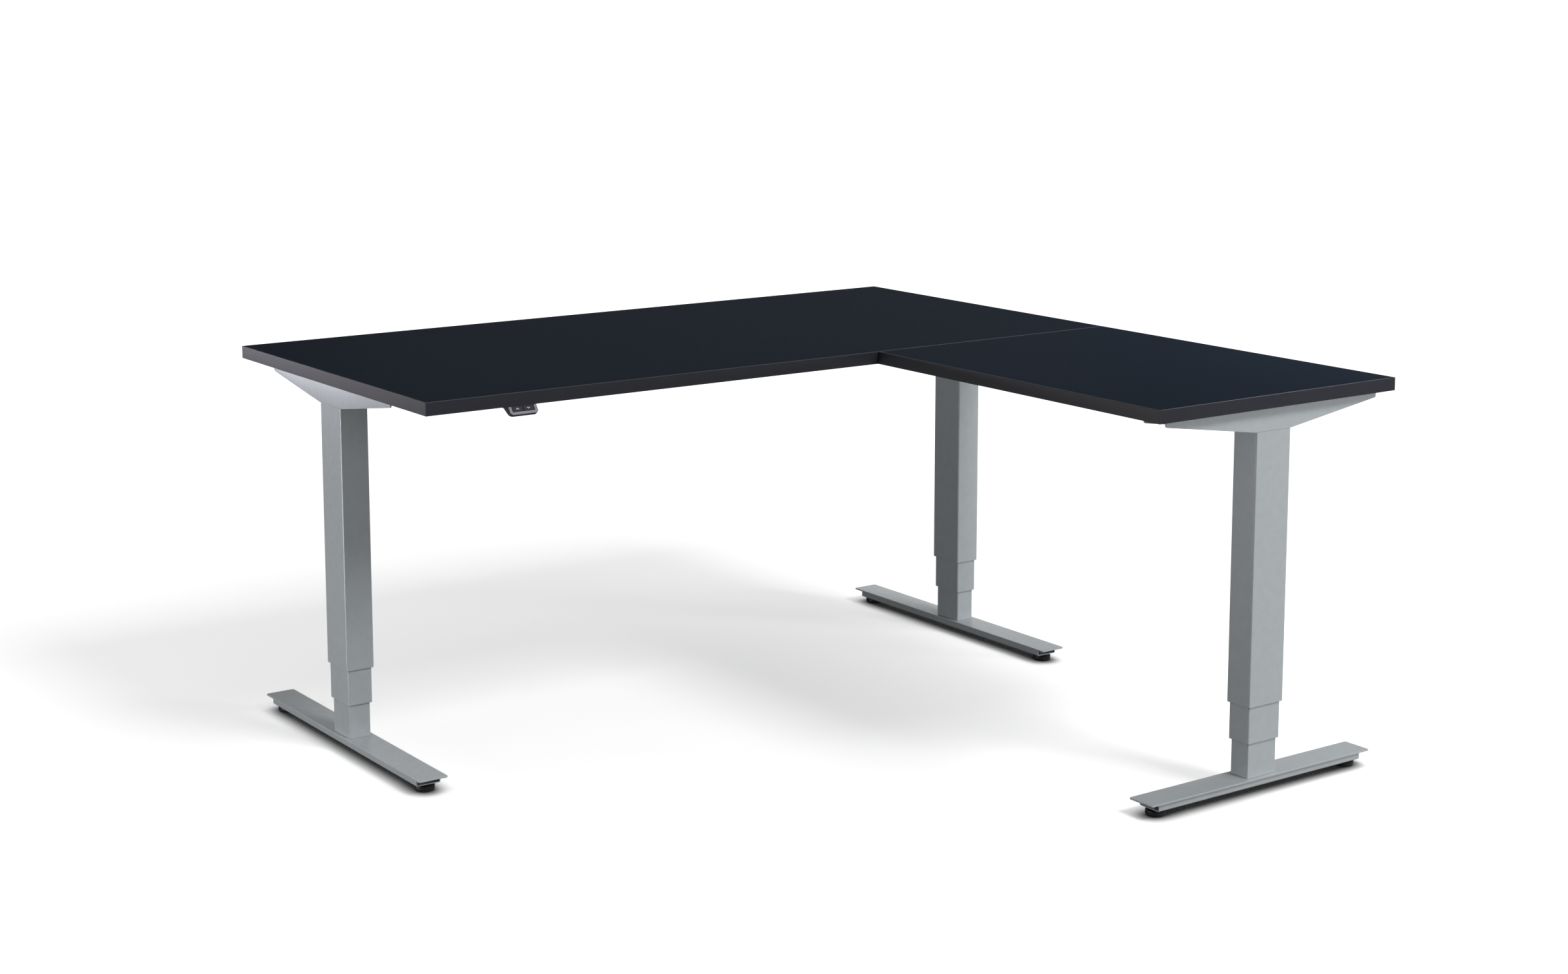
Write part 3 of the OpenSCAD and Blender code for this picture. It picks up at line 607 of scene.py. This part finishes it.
def make_bracket(leg):
    """A folded channel whose two flanges deepen towards the column."""
    node = leg + "_bracket"
    low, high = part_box(node)
    centre, size = (low + high) / 2, high - low
    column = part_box(leg + "_outer_tube")
    turned = leg in ALONG_X
    width, length = (size.y, size.x) if turned else (size.x, size.y)
    column_long = (column[1].x - column[0].x) if turned else (column[1].y - column[0].y)
    arm, flat = length / 2, column_long / 2 + BRACKET_FLAT
    side = [(-arm, high.z), (-arm, high.z - BRACKET_END), (-flat, low.z),
            (flat, low.z), (arm, high.z - BRACKET_END), (arm, high.z)]
    edge_line = fillet(side, [0, 4 * MM, 3 * MM, 3 * MM, 4 * MM, 0])[1:-1]
    bend, t = 4 * MM, BRACKET_SHEET
    half = width / 2
    left_bend = arc(-half + bend, high.z - bend, bend, 180, 90, 5)
    right_bend = arc(half - bend, high.z - bend, bend, 90, 0, 5)
    left_inner = arc(-half + bend, high.z - bend, bend - t, 180, 90, 5)
    right_inner = arc(half - bend, high.z - bend, bend - t, 90, 0, 5)

    def place(x, s, z):
        if turned:
            return Vector((centre.x + s, centre.y + x, z))
        return Vector((centre.x + x, centre.y + s, z))

    rings = []
    for s, z in edge_line:
        outer = [(-half, z)] + left_bend + right_bend + [(half, z)]
        inner = [(-half + t, z)] + left_inner + right_inner + [(half - t, z)]
        rings.append([place(x, s, height) for x, height in outer + inner[::-1]])
    bm = bmesh.new()
    add_folded_sheet(bm, rings)
    new_piece(leg + "_arm_bracket", bm, "desktop", "silver_paint", [node], bevel=0.35 * MM)


# ---- Feet ----

def make_foot(leg):
    """A flat plate on a folded channel."""
    low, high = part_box(leg + "_foot")
    centre, size = (low + high) / 2, high - low
    turned = leg in ALONG_X
    length = size.x if turned else size.y
    channel_long = length - 2 * CHANNEL_INSET
    plate = bmesh.new()
    add_rounded_box(plate, (low.x, low.y, high.z - PLATE_THICK), high, 4 * MM, 6, 0.5 * MM)
    new_piece(leg + "_foot_plate", plate, "base", "silver_paint", [leg + "_foot"])

    t, bend, half = CHANNEL_SHEET, 3 * MM, CHANNEL_WIDTH / 2
    top = high.z - PLATE_THICK - 0.05 * MM
    outer = [(-half, top)] + arc(-half + bend, low.z + bend, bend, 180, 270, 5)
    outer += arc(half - bend, low.z + bend, bend, 270, 360, 5) + [(half, top)]
    inner = [(-half + t, top)] + arc(-half + bend, low.z + bend, bend - t, 180, 270, 5)
    inner += arc(half - bend, low.z + bend, bend - t, 270, 360, 5) + [(half - t, top)]
    rings = []
    for s in (-channel_long / 2, channel_long / 2):
        rings.append([(centre.x + s, centre.y + x, z) if turned else (centre.x + x, centre.y + s, z)
                      for x, z in outer + inner[::-1]])
    channel = bmesh.new()
    add_folded_sheet(channel, rings)
    new_piece(leg + "_foot_channel", channel, "base", "silver_paint", bevel=0.3 * MM)


def make_glide(node):
    """A moulded disc with a rounded lower edge, on a threaded stud."""
    low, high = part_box(node)
    centre = (low + high) / 2
    radius = (high.x - low.x) / 2
    round_low, round_top, disc = 5 * MM, 1.2 * MM, 12 * MM
    profile = [(0, 0), (radius - round_low, 0)]
    profile += arc(radius - round_low, round_low, round_low, 270, 360, 8)[1:]
    profile += arc(radius - round_top, disc - round_top - 0.8 * MM, round_top, 0, 90, 4)
    profile += [(8 * MM, disc - 0.5 * MM), (7.6 * MM, disc), (0, disc)]
    bm = bmesh.new()
    add_lathe(bm, profile, (centre.x, centre.y, low.z), 48)
    new_piece(node + "_disc", bm, node, "glide_rubber", [node])

    stud = bmesh.new()
    pitch, root, crest = 1.25 * MM, 3.4 * MM, 3.95 * MM
    threads = int((high.z - low.z - disc) / pitch)
    thread = [(0, disc - 1 * MM), (root, disc - 1 * MM)]
    for k in range(threads):
        thread += [(root, disc + pitch * k), (crest, disc + pitch * (k + 0.5))]
    thread += [(root, high.z - low.z), (0, high.z - low.z)]
    add_lathe(stud, thread, (centre.x, centre.y, low.z), 24)
    new_piece(node + "_stud", stud, node, "zinc")


# ---- Beams ----

def across(axis, along, a, z):
    """A point at a place along a beam's axis and at a place across it."""
    return Vector((along, a, z)) if axis == "X" else Vector((a, along, z))


def cross_section(low, high, radius, outset=0.0):
    """A rounded outline across a beam between two (across, height) corners."""
    centre = ((low[0] + high[0]) / 2, (low[1] + high[1]) / 2)
    width, height = high[0] - low[0] + 2 * outset, high[1] - low[1] + 2 * outset
    return [(centre[0] + x, centre[1] + z)
            for x, z in rounded_rectangle(width, height, max(radius + outset, 0.3 * MM), 4)]


def add_beam_tube(bm, axis, start, end, low, high, radius, wall):
    """A rolled rectangular tube with open ends."""
    outer = cross_section(low, high, radius)
    inner = cross_section(low, high, radius, -wall)
    rings = [[across(axis, s, a, z) for a, z in ring]
             for ring, s in ((outer, start), (outer, end), (inner, end), (inner, start))]
    add_loft(bm, rings, closed=True)


def add_beam_plate(bm, axis, start, end, low, high, radius):
    """An upright plate across a beam's end."""
    outline = cross_section(low, high, radius)
    add_loft(bm, [[across(axis, s, a, z) for a, z in outline] for s in (start, end)])


def add_weld(bm, axis, plate_face, direction, low, high, radius):
    """A fillet bead round a tube where it meets its end plate."""
    bead = 1.8 * MM
    rings = []
    for step in range(5):
        angle = math.radians(90 * step / 4)
        outset = bead * (1 - math.sin(angle))
        reach = bead * (1 - math.cos(angle))
        rings.append([across(axis, plate_face + direction * reach, a, z)
                      for a, z in cross_section(low, high, radius, outset)])
    add_loft(bm, rings)


def make_beams():
    """The sliding main beam, the return's beam and the plates under the seam."""
    plate, slack, wall, bend = 4 * MM, 0.2 * MM, 2 * MM, 3 * MM

    low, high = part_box("main_beam")
    sleeve = bmesh.new()
    add_beam_tube(sleeve, "X", low.x, high.x, (low.y, low.z), (high.y, high.z), bend, wall)
    new_piece("main_beam_sleeve", sleeve, "desktop", "silver_paint", ["main_beam"], bevel=0.3 * MM)

    gap = wall + slack
    rail_low, rail_high = (low.y + gap, low.z + gap), (high.y - gap, high.z - gap)
    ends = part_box("main_beam_rails")
    lap = 120 * MM
    rails = bmesh.new()
    for inner, outer, direction in ((low.x + lap, ends[0].x, 1), (high.x - lap, ends[1].x, -1)):
        face = outer + direction * plate
        start, end = sorted((inner, face))
        add_beam_tube(rails, "X", start, end, rail_low, rail_high, 2 * MM, wall)
        start, end = sorted((outer, face))
        add_beam_plate(rails, "X", start, end, (low.y, low.z), (high.y, high.z), bend)
        add_weld(rails, "X", face, direction, rail_low, rail_high, 2 * MM)
    new_piece("main_beam_slides", rails, "desktop", "silver_paint", ["main_beam_rails"],
              bevel=0.3 * MM)

    low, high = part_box("return_beam")
    across_low, across_high = (low.x, low.z), (high.x, high.z)
    beam = bmesh.new()
    add_beam_tube(beam, "Y", low.y + plate, high.y - plate, across_low, across_high, bend, wall)
    add_beam_plate(beam, "Y", low.y, low.y + plate, across_low, across_high, bend)
    add_beam_plate(beam, "Y", high.y - plate, high.y, across_low, across_high, bend)
    new_piece("return_beam_tube", beam, "desktop", "silver_paint", ["return_beam"], bevel=0.3 * MM)

    low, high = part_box("joining_plates")
    plates = bmesh.new()
    for x in (low.x, high.x - JOINING_PLATE):
        add_rounded_box(plates, (x, low.y, low.z), (x + JOINING_PLATE, high.y, high.z),
                        10 * MM, 6, 0.5 * MM)
    new_piece("joining_plate_pair", plates, "desktop", "zinc", ["joining_plates"])


# ---- Screws ----

WOOD_SCREW = {"head_radius": 4.2 * MM, "head_high": 2.4 * MM, "dome": 1.6 * MM,
              "shank_radius": 2.25 * MM, "shank_long": 18 * MM, "pitch": 2.0 * MM,
              "socket": 1.7 * MM, "tip": 4 * MM}
FOOT_BOLT = {"head_radius": 5 * MM, "head_high": 4 * MM, "dome": 1.0 * MM,
             "shank_radius": 3 * MM, "shank_long": 8.5 * MM, "pitch": 1.0 * MM, "socket": 2.5 * MM}
LID_SCREW = {"head_radius": 3.2 * MM, "head_high": 1.6 * MM, "dome": 1.2 * MM,
             "shank_radius": 1.4 * MM, "shank_long": 1.0 * MM, "pitch": 0.5 * MM,
             "socket": 1.3 * MM}


def hexagon(radius, steps=24):
    """A hexagon's outline with as many points as a circle beside it."""
    ring = []
    for k in range(steps):
        angle = 2 * math.pi * k / steps
        within = (angle + math.pi / 6) % (math.pi / 3) - math.pi / 6
        reach = radius * math.cos(math.pi / 6) / math.cos(within)
        ring.append((reach * math.cos(angle), reach * math.sin(angle)))
    return ring


def add_socket_screw(bm, place, head_radius, head_high, dome, shank_radius, shank_long, pitch,
                     socket, tip=0.0):
    """A screw that points up, its head below, with a hexagon socket in the head.

    place is the middle of the head's seat. The thread is a run of ridges, pitch apart.
    """
    steps = 24

    def circle(radius, z):
        return [Vector((place[0] + radius * math.cos(2 * math.pi * k / steps),
                        place[1] + radius * math.sin(2 * math.pi * k / steps), place[2] + z))
                for k in range(steps)]

    def socket_ring(z):
        return [Vector((place[0] + x, place[1] + y, place[2] + z)) for x, y in hexagon(socket)]

    rings = [socket_ring(-head_high * 0.35), socket_ring(-head_high)]
    rings.append(circle(socket * 1.12, -head_high))
    for step in range(1, 5):
        angle = math.radians(90 * step / 4)
        flat = head_radius - dome
        rings.append(circle(flat + dome * math.sin(angle), -head_high + dome * (1 - math.cos(angle))))
    rings.append(circle(head_radius, 0))
    rings.append(circle(shank_radius, 0))
    z, root = pitch, shank_radius * 0.78
    while z < shank_long - tip - pitch:
        rings.append(circle(root, z))
        rings.append(circle(shank_radius, z + pitch * 0.5))
        z += pitch
    rings.append(circle(root, shank_long - tip))
    if tip:
        rings.append(circle(0.25 * MM, shank_long))
    add_loft(bm, rings)


def screw_places(leg, along, sideways):
    """Places round a column's middle, laid along the leg's long side."""
    middle = centre_of(leg + "_inner_tube")
    for a in along:
        for b in sideways:
            yield (middle.x + a, middle.y + b) if leg in ALONG_X else (middle.x + b, middle.y + a)


def make_screws():
    """The board screws, the feet's bolts and the nuts welded inside the feet."""
    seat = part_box("board_screws")[0].z + WOOD_SCREW["head_high"]
    board = bmesh.new()
    spots = []
    for leg in LEGS:
        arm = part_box(leg + "_bracket")
        reach = max(arm[1].x - arm[0].x, arm[1].y - arm[0].y) / 2
        near, far = reach - SCREWS_IN[0], reach - SCREWS_IN[1]
        spots += list(screw_places(leg, (-far, -near, near, far), (0,)))
    low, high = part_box("joining_plates")
    seam = (low.y + high.y) / 2
    for x in (low.x + JOINING_PLATE / 2, high.x - JOINING_PLATE / 2):
        spots += [(x + PLATE_SCREWS[0] * sx, seam + PLATE_SCREWS[1] * sy)
                  for sx in (-1, 1) for sy in (-1, 1)]
    for x, y in spots:
        add_socket_screw(board, (x, y, seat), **WOOD_SCREW)
    new_piece("wood_screws", board, "desktop", "zinc", ["board_screws"], sharp=40)

    plate_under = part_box("left_foot")[1].z - PLATE_THICK
    bolts = bmesh.new()
    for leg in LEGS:
        for x, y in screw_places(leg, (-BOLTS[0], BOLTS[0]), (-BOLTS[1], BOLTS[1])):
            add_socket_screw(bolts, (x, y, plate_under), **FOOT_BOLT)
    new_piece("foot_bolts", bolts, "base", "zinc", ["foot_screws"], sharp=40)

    nuts = bmesh.new()
    for leg in LEGS:
        for glide_name in GLIDES[leg]:
            middle = centre_of(glide_name)
            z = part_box(leg + "_foot")[0].z + CHANNEL_SHEET
            outline = [(middle.x + x, middle.y + y) for x, y in hexagon(7.5 * MM)]
            add_prism(nuts, outline, z, z + 5 * MM)
    new_piece("weld_nuts", nuts, "base", "zinc", bevel=0.3 * MM)


# ---- Leads ----

# How a motor's lead comes out of its bracket: inwards, sideways and depth, in millimetres
WAY_OUT = [(24, 0, 33), (40, 0, 33), (51, 4, 32), (60, 20, 31), (66, 33, 29), (70, 37, 21),
           (74, 38, 11), (82, 38, 5), (91, 38, 4), (106, 38, 4)]
# The other stretches: x, y from the main beam and depth under the board, in millimetres
CROSSING = [(38, -80, 4), (38, -60, 4), (38, -49, 7), (38, -42, 17), (38, -38, 27), (38, -30, 31),
            (38, 0, 31), (37, 28, 31), (34, 37, 27), (30, 43, 16), (22, 46, 6), (4, 47, 4),
            (-16, 47, 4)]
UNDER_BEAM = [(0, -70, 3), (0, -55, 3), (0, -45, 7), (0, -39, 17), (0, -34, 27), (0, -25, 30),
              (0, 0, 30), (0, 25, 30), (2, 37, 26), (6, 46, 15), (14, 53, 6), (30, 55, 3),
              (50, 55, 3)]
INTO_BOX = {
    "left": [(-430, 38, 4), (-405, 38, 4), (-394, 38, 5), (-390, 40, 15), (-390, 44, 24),
             (-390, 50, 25), (-390, 59, 25)],
    "middle": [(-320, 38, 4), (-350, 38, 4), (-357, 38, 6), (-360, 40, 15), (-360, 44, 24),
               (-360, 50, 25), (-360, 59, 25)],
    "right": [(-295, 47, 4), (-320, 47, 4), (-327, 47, 6), (-330, 47, 14), (-330, 48, 23),
              (-330, 52, 25), (-330, 59, 25)],
    "handset": [(-330, 55, 3), (-312, 55, 4), (-303, 54, 9), (-300, 52, 17), (-300, 52, 23),
                (-300, 54, 25), (-300, 59, 25)],
}
UNDER_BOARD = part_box("main_top")[0].z
BEAM_Y = centre_of("main_beam").y


def lay(points, x=0.0):
    """Places [x, y from the beam, depth under the board], in millimetres, as points in metres."""
    return [Vector((x + px * MM, BEAM_Y + py * MM, UNDER_BOARD - depth * MM))
            for px, py, depth in points]


def lead_routes():
    """The route of each lead, from its motor or the handset to its plug."""
    routes = {}
    for leg in LEGS:
        middle = centre_of(leg + "_inner_tube")
        start = []
        for inwards, sideways, depth in WAY_OUT:
            a, b, z = inwards * MM, sideways * MM, UNDER_BOARD - depth * MM
            if leg in ALONG_X:
                start.append(Vector((middle.x + b, middle.y + a, z)))
            else:
                start.append(Vector((middle.x + (a if leg == "left" else -a), middle.y + b, z)))
        if leg in ALONG_X:
            start += lay(CROSSING, middle.x)
        routes[leg] = start + lay(INTO_BOX[leg])
    low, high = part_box("handset_case")
    x = (low.x + high.x) / 2
    start = [Vector((x, high.y + y * MM, UNDER_BOARD - CASE_THICK / 2)) for y in (0, 10, 70)]
    routes["handset"] = start + lay(UNDER_BEAM, x) + lay(INTO_BOX["handset"])
    return routes


def smooth(points, rounds=3):
    """Cuts a route's corners until it bends like a cable."""
    for _ in range(rounds):
        cut = [points[0]]
        for a, b in zip(points, points[1:]):
            cut += [a.lerp(b, 0.25), a.lerp(b, 0.75)]
        points = cut + [points[-1]]
    return points


def add_cable(bm, points, radius, facets=12):
    """A round cable swept along its points without twisting."""
    side = Vector((0.1, 0.2, 1))
    rings = []
    for k, point in enumerate(points):
        along = (points[min(k + 1, len(points) - 1)] - points[max(k - 1, 0)]).normalized()
        side = (side - side.dot(along) * along).normalized()
        other = along.cross(side)
        rings.append([point + radius * (math.cos(2 * math.pi * f / facets) * side
                                        + math.sin(2 * math.pi * f / facets) * other)
                      for f in range(facets)])
    add_loft(bm, rings)


def add_clip(bm, point, along, radius):
    """A moulded saddle that holds a lead against the board."""
    along = Vector((along.x, along.y, 0)).normalized()
    side = Vector((-along.y, along.x, 0))
    skin, foot, half = 1.0 * MM, 7 * MM, 4 * MM
    outer = [(-foot, UNDER_BOARD - skin), (-radius - skin, UNDER_BOARD - skin)]
    outer += [(x, point.z + z) for x, z in arc(0, 0, radius + skin, 180, 360, 8)]
    outer += [(radius + skin, UNDER_BOARD - skin), (foot, UNDER_BOARD - skin)]
    outline = outer + [(foot, UNDER_BOARD), (-foot, UNDER_BOARD)]
    flat = Vector((point.x, point.y, 0))
    rings = [[flat + along * a + side * x + Vector((0, 0, z)) for x, z in outline]
             for a in (-half, half)]
    add_loft(bm, rings)


def add_plug(bm, end):
    """A plug at a lead's end, which steps up from the strain relief to the body."""
    front = end.y - 1 * MM
    rings = []
    for inset, y in ((3.2, -7.0), (3.0, -3.0), (1.2, 0.0), (0.4, 0.6), (0.0, 1.4), (0.0, 14.0)):
        height, width = (8 - 2 * inset) * MM, (12 - 2 * inset - (2.4 if inset > 1 else 0)) * MM
        rings.append([Vector((end.x + x, front + y * MM, end.z + z))
                      for x, z in rounded_rectangle(width, height, min(width, height) * 0.3, 4)])
    add_loft(bm, rings)


def make_leads():
    """The four leads with their plugs and their clips."""
    clips = bmesh.new()
    bodies = bmesh.new()
    for name, route in lead_routes().items():
        radius = HANDSET_LEAD if name == "handset" else MOTOR_LEAD
        cable = bmesh.new()
        add_cable(cable, smooth(route), radius)
        label = "handset_cable" if name == "handset" else name + "_motor_cable"
        replaced = {"handset": ["handset_lead"], "left": ["motor_leads"]}.get(name, [])
        new_piece(label, cable, "desktop", "cable", replaced)
        add_plug(bodies, route[-1])

        shortest, spacing = 150 * MM, 330 * MM
        for a, b in zip(route, route[1:]):
            span = (b - a).length
            if span < shortest:
                continue
            count = max(1, round(span / spacing))
            for k in range(count):
                add_clip(clips, a.lerp(b, (k + 0.5) / count), b - a, radius)
    new_piece("lead_clips", clips, "desktop", "white_plastic", sharp=40)
    new_piece("lead_plugs", bodies, "desktop", "black_plastic", sharp=45)


def make_grommets():
    """The grommets that the motors' leads leave the brackets by."""
    rings = bmesh.new()
    profile = [(0, -1.5 * MM), (2.6 * MM, -1.5 * MM), (5.4 * MM, -1.5 * MM), (6.2 * MM, -0.8 * MM),
               (6.2 * MM, 0.2 * MM), (2.6 * MM, 0.2 * MM), (0, 0.2 * MM)]
    for leg in LEGS:
        low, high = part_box(leg + "_bracket")
        middle = centre_of(leg + "_inner_tube")
        z = UNDER_BOARD - LEAD_HOLE
        if leg in ALONG_X:
            place = Matrix.Translation((middle.x, high.y, z)) @ Matrix.Rotation(math.pi / 2, 4, "X")
        elif leg == "left":
            place = Matrix.Translation((high.x, middle.y, z)) @ Matrix.Rotation(-math.pi / 2, 4, "Y")
        else:
            place = Matrix.Translation((low.x, middle.y, z)) @ Matrix.Rotation(math.pi / 2, 4, "Y")
        add_lathe(rings, profile, (0, 0, 0), 32, place)
    new_piece("bracket_grommets", rings, "desktop", "black_plastic", sharp=40)


# ---- Handset ----

FACE_RUN, FACE_DROP, RIM_WIDE, KEY_GAP, KEY_PROUD = 9.5 * MM, 12.7 * MM, 5 * MM, 0.4 * MM, 0.2 * MM
FACE_LONG = math.hypot(FACE_RUN, FACE_DROP)
KEY_THICK = 2.3 * MM


def face_matrix():
    """From the handset's face, +Y up the slope and +Z out of it, to the desk."""
    low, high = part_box("handset_case")
    corner = Vector(((low.x + high.x) / 2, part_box("main_top")[0].y - BAND - 0.3 * MM, UNDER_BOARD))
    return Matrix.Translation(corner) @ Matrix.Rotation(math.atan2(FACE_DROP, FACE_RUN), 4, "X")


def make_handset():
    """The two keys in the rim, each with its raised arrow."""
    place = face_matrix()
    low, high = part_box("handset_case")
    key_wide = (high.x - low.x) / 2 - RIM_WIDE - 1.5 * MM
    key_long = FACE_LONG - RIM_WIDE - 1 * MM
    y0 = RIM_WIDE + 0.2 * MM - FACE_LONG
    for node, x0, up in (("up_button", -key_wide, 1), ("down_button", 0.0, -1)):
        wide = key_wide - 2 * KEY_GAP
        cx, cy = x0 + KEY_GAP + wide / 2, y0 + key_long / 2
        key = bmesh.new()
        rings = []
        profile = [(0.0, KEY_PROUD - KEY_THICK), (0.0, KEY_PROUD - 0.45 * MM),
                   (0.12 * MM, KEY_PROUD - 0.15 * MM), (0.45 * MM, KEY_PROUD),
                   (1.2 * MM, KEY_PROUD - 0.03 * MM), (3.5 * MM, KEY_PROUD - 0.16 * MM)]
        for inset, z in profile:
            rings.append([place @ Vector((cx + x, cy + y, z)) for x, y in
                          rounded_rectangle(wide - 2 * inset, key_long - 2 * inset,
                                            max(1.3 * MM - inset, 0.4 * MM), 4)])
        add_loft(key, rings)
        body = "up_key" if up > 0 else "down_key"
        new_piece(node.replace("button", "key_cap"), key, body, "key_plastic", [node], sharp=50)

        chevron = bmesh.new()
        reach, rise, stroke = 2.7 * MM, 2.4 * MM, 1.1 * MM
        outline = [(-reach, -rise / 2), (0, rise / 2), (reach, -rise / 2),
                   (reach, -rise / 2 - stroke), (0, rise / 2 - stroke), (-reach, -rise / 2 - stroke)]
        outline = [(cx + x, cy + 0.4 * MM + up * (y + stroke / 2)) for x, y in outline]
        add_prism(chevron, outline, KEY_PROUD - 0.3 * MM, KEY_PROUD - 0.05 * MM, place)
        new_piece(node.replace("button", "key_mark"), chevron, body, "white_plastic", material=MARK)


# ---- Control box details ----

def make_box_details():
    """Ribs and lid screws under the control box."""
    low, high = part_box("control_box_case")
    ribs = bmesh.new()
    for k in range(9):
        x = low.x + 60 * MM + 12 * MM * k
        add_rounded_box(ribs, (x, low.y + 30 * MM, low.z - 0.8 * MM),
                        (x + 5 * MM, high.y - 20 * MM, low.z + 0.2 * MM), 2.4 * MM, 5, 0.3 * MM)
    new_piece("control_box_ribs", ribs, "desktop", "black_plastic")

    screws = bmesh.new()
    for x in (low.x + 12 * MM, high.x - 12 * MM):
        for y in (low.y + 12 * MM, high.y - 12 * MM):
            add_socket_screw(screws, (x, y, low.z + 0.1 * MM), **LID_SCREW)
    new_piece("control_box_screws", screws, "desktop", "zinc", sharp=40)


# ---- Build ----

make_camera()
make_stage()
make_boards()
make_columns()
for leg_name in LEGS:
    make_bracket(leg_name)
    make_foot(leg_name)
    for glide in GLIDES[leg_name]:
        make_glide(glide)
make_beams()
make_screws()
make_leads()
make_grommets()
make_handset()
make_box_details()


# ---- Finish ----

EDGE_OF_NODE = {
    "control_box_case": 1.0 * MM, "control_box_lid": 0.8 * MM, "mains_inlet": 0.4 * MM,
    "handset_case": 0.35 * MM, "handset_rim": 0.25 * MM, "control_board": 0.3 * MM,
}
SLOT_OF_NODE = {
    "head": "cast_metal", "drive": "motor_metal", "mid_guide": "black_plastic",
    "inner_guide": "white_plastic", "upper_screw": "steel", "lower_screw": "steel",
    "control_box_case": "black_plastic", "control_box_lid": "black_plastic",
    "control_board": "circuit", "mains_inlet": "black_plastic", "handset_case": "black_plastic",
    "handset_rim": "rim_plastic", "handset_board": "circuit", "head_screws": "zinc",
}

for node_name, node_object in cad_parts.items():
    if node_object.hide_render:
        continue
    kind = next(k for k in SLOT_OF_NODE if node_name == k or node_name.endswith("_" + k))
    node_object.data.materials.clear()
    node_object.data.materials.append(MATERIALS[SLOT_OF_NODE[kind]])
    if node_name in EDGE_OF_NODE:
        rounding = node_object.modifiers.new("edges", "BEVEL")
        rounding.width = EDGE_OF_NODE[node_name]
        rounding.segments = 3
        rounding.limit_method = "ANGLE"
        rounding.angle_limit = math.radians(30)
        rounding.harden_normals = True
